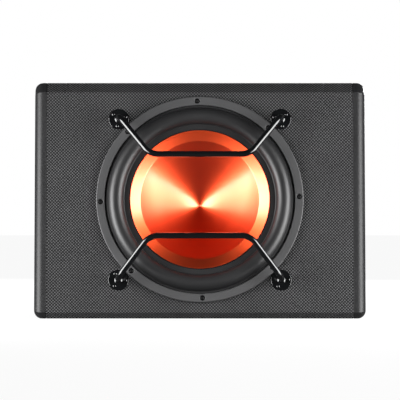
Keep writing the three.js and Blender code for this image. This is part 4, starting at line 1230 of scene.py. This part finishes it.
def addBoxSocket(name, x, size, pins):
    low, top = controls["base"], controls["top"]
    centre = (x, controls["middle"])
    width, height = size
    wall, mouth = boxSocket["wall"], top - boxSocket["mouth"]
    # how far in each section stands, its corner radius and its level
    sections = [(0, 1.0, low), (0, 1.0, mouth), (0.8, 0.8, top), (wall - 0.6, 0.7, top), (wall, 0.5, mouth),
                (wall, 0.5, low + boxSocket["floor"])]
    bm = lofted([(width - less, height - less, radius, level) for less, radius, level in sections], centre,
                steps=3)
    toPiece(name + "_shell", bm, "black_plastic", [name], ampPlace)
    spread = (width - wall) / pins
    level = low + boxSocket["pinLevel"]
    parts = [bar((x + (i - (pins - 1) / 2) * spread, controls["middle"], level), boxSocket["pin"], 0.15)
             for i in range(pins)]
    toPiece(name + "_pins", together(parts), "zinc_steel", (), ampPlace)


terminal = {"place": (32, -46), "size": (44, 20), "slot": 8, "pitch": 13, "wall": 1.5, "screwRadius": 3.2,
            "screwUp": 4.2, "entryLength": 24, "rib": (1.2, 12, 0.8), "groove": (7, 0.9, 1.3)}


def addPowerTerminal():
    x, y = terminal["place"]
    width, height = terminal["size"]
    low, top = controls["base"], controls["top"]
    bm = bar((x, y, (low + top) / 2), (width, height, top - low), 0.7)
    cutters = []
    places = [x + i * terminal["pitch"] for i in (-1, 0, 1)]
    for slot in places:
        cutters.append(bar((slot, y - 9, (low + top) / 2),
                           (terminal["slot"], terminal["entryLength"], top - low - 2 * terminal["wall"])))
        spot = (slot, y + terminal["screwUp"])
        cutters.append(upright(terminal["screwRadius"] + 0.3, top - 1.1, top + 1, spot))
    for i in (-1.5, -0.5, 0.5, 1.5):
        cutters.append(bar((x + i * terminal["pitch"], y - 6, top), terminal["rib"]))
    toPiece("power_terminal_block", carved(bm, cutters), "black_plastic", ["power_terminal"], ampPlace)
    for number, slot in enumerate(places, 1):
        radius, under, over = terminal["screwRadius"], top - 1.05, top - 0.15
        head = turned([(0, under), (radius, under), (radius, over, 0.4), (0, over)], 32)
        groove = bar((0, 0, top), terminal["groove"], 0, 0.5 * number)
        toPiece(f"power_terminal_screw_{number}", carved(head, [groove]), "zinc_steel", (),
                ampPlace @ shift(slot, y + terminal["screwUp"]))
        clamp = bar((slot, y - 3, low + terminal["wall"] + 0.6), (terminal["slot"] - 1, 8, 1), 0.2)
        toPiece(f"power_terminal_clamp_{number}", clamp, "zinc_steel", (), ampPlace)


fuseBody = {"place": (92, -46), "holder": (28, 14), "holderHeight": 5, "size": (19, 5)}


def addFuse():
    x, y = fuseBody["place"]
    low, top = controls["base"], controls["top"]
    seat = low + fuseBody["holderHeight"]
    width, height = fuseBody["holder"]
    bm = bar((x, y, (low + seat) / 2), (width, height, fuseBody["holderHeight"]), 0.8)
    pocket = bar((x, y, seat), (fuseBody["size"][0] + 1, fuseBody["size"][1] + 1, 1.2))
    toPiece("fuse_socket", carved(bm, [pocket]), "black_plastic", ["fuse_holder"], ampPlace)
    width, height = fuseBody["size"]
    body = bar((x, y, (seat + 0.3 + top) / 2), (width, height, top - seat - 0.3), 0.5)
    cutters = [bar((x, y + side * height / 2, top - 1.8), (width - 5, 0.9, 2.2)) for side in (-1, 1)]
    cutters += [bar((x + side * 6, y, top), (2.2, 1.6, 0.9)) for side in (-1, 1)]
    toPiece("blade_fuse", carved(body, cutters), "red_plastic", ["fuse"], ampPlace)


lampLens = {"rim": 2.0, "collar": 0.8, "dome": 1.75, "height": 2.95}


def addLamp():
    low = controls["base"]
    place = ampPlace @ shift(controls["lamp"], controls["middle"])
    rim, collar, dome = lampLens["rim"], lampLens["collar"], lampLens["dome"]
    crown = arcPoints(0, low + 1.2, dome, 0, 90, 8)[:-1]
    bm = turned([(0, low), (rim, low), (rim, low + collar, 0.2), (1.7, low + 0.9)] + crown
                + [(0, low + lampLens["height"])], 40)
    toPiece("power_lamp_lens", bm, "blue_lens", ["power_lamp"], place)


addBezel()
addPlate()
addMarks()
addHeatsink()
addKnobs()
addSwitch()
addPhonoSocket("phono_socket_left", 14, "white_plastic")
addPhonoSocket("phono_socket_right", 32, "red_plastic")
addBoxSocket("remote_socket", 56, (14, 12), 2)
addBoxSocket("speaker_level_socket", 98, (24, 13), 4)
addPowerTerminal()
addFuse()
addLamp()

pattern = crossHeadScrew(driverScrew, bezel["front"] + 0.3)
for number in (1, 2, 3, 4):
    found = boxCentre(f"amp_screw_{number}")
    spot = Matrix.Translation((-found.x, found.z - bezelMiddle.z, 0))
    turn = Matrix.Rotation(0.9 * number, 4, "Z")
    toPiece(f"bezel_screw_{number}", setDown(pattern, spot @ turn), "black_steel", [f"amp_screw_{number}"],
            ampPlace)
pattern.free()


boardBack = -26.2
winding = {"place": (70, 20), "inner": 10, "outer": 24, "height": 22, "turns": 44, "ripple": 0.012}
can = {"place": (10, 20), "radius": 11, "height": 36}


# Windings of the transformer and the capacitor's can, behind the circuit board
def addBoardParts():
    base, inner, outer = boardBack, winding["inner"], winding["outer"]
    low = base - winding["height"]
    bm = turned([(inner, low, 5), (outer, low, 6), (outer, base, 6), (inner, base, 5)],
                4 * winding["turns"], 5)
    for vertex in bm.verts:
        turn = atan2(vertex.co.y, vertex.co.x)
        vertex.co.xy *= 1 - winding["ripple"] * (0.5 + 0.5 * cos(winding["turns"] * turn))
    toPiece("wound_transformer", bm, "yellow_tape", ["transformer"], ampPlace @ shift(*winding["place"]))
    radius, top = can["radius"], base - can["height"]
    bm = turned([(0, top + 0.4), (radius - 2.5, top + 0.4), (radius - 1.6, top, 0.3), (radius, top, 0.8),
                 (radius, base - 5, 0.6), (radius - 0.7, base - 4, 0.6), (radius, base - 3, 0.6),
                 (radius, base, 0.5), (0, base)], 48)
    toPiece("smoothing_capacitor", bm, "black_plastic", ["capacitor"], ampPlace @ shift(*can["place"]))


addBoardParts()
print("amplifier made")


# What is left of the frame takes its finish from the same materials
for entry in frame["record"]["subparts"]:
    for slot in frame["nodes"][entry["node"]].material_slots:
        slot.material = materials[entry["material_slot"]]


# Large faces keep their own shading beside small roundings
for piece in madePieces:
    shading = piece.modifiers.new("shading", "WEIGHTED_NORMAL")
    shading.keep_sharp = True


# Floor

bm = bmesh.new()
bmesh.ops.create_circle(bm, cap_ends=True, radius=14, segments=64)
floor = toObject("studio_floor", bm)
floor.visible_glossy = False
floor.visible_shadow = False
floor.visible_diffuse = False
floorLook = {"color": (0.82, 0.82, 0.82), "roughness": 0.7, "ownLight": 0.94}
floorMaterial = newMaterial("studio_floor", floorLook["color"], floorLook["roughness"])
bright = addNode(floorMaterial, "Emission", {"Color": (1, 1, 1, 1), "Strength": 1.0})
both = addNode(floorMaterial, "MixShader", {
    0: floorLook["ownLight"], 1: shaderOf(floorMaterial).outputs[0], 2: bright.outputs[0]})
floorNodes = floorMaterial.node_tree
floorNodes.links.new(both.outputs[0], floorNodes.nodes["Material Output"].inputs["Surface"])
floor.data.materials.append(floorMaterial)
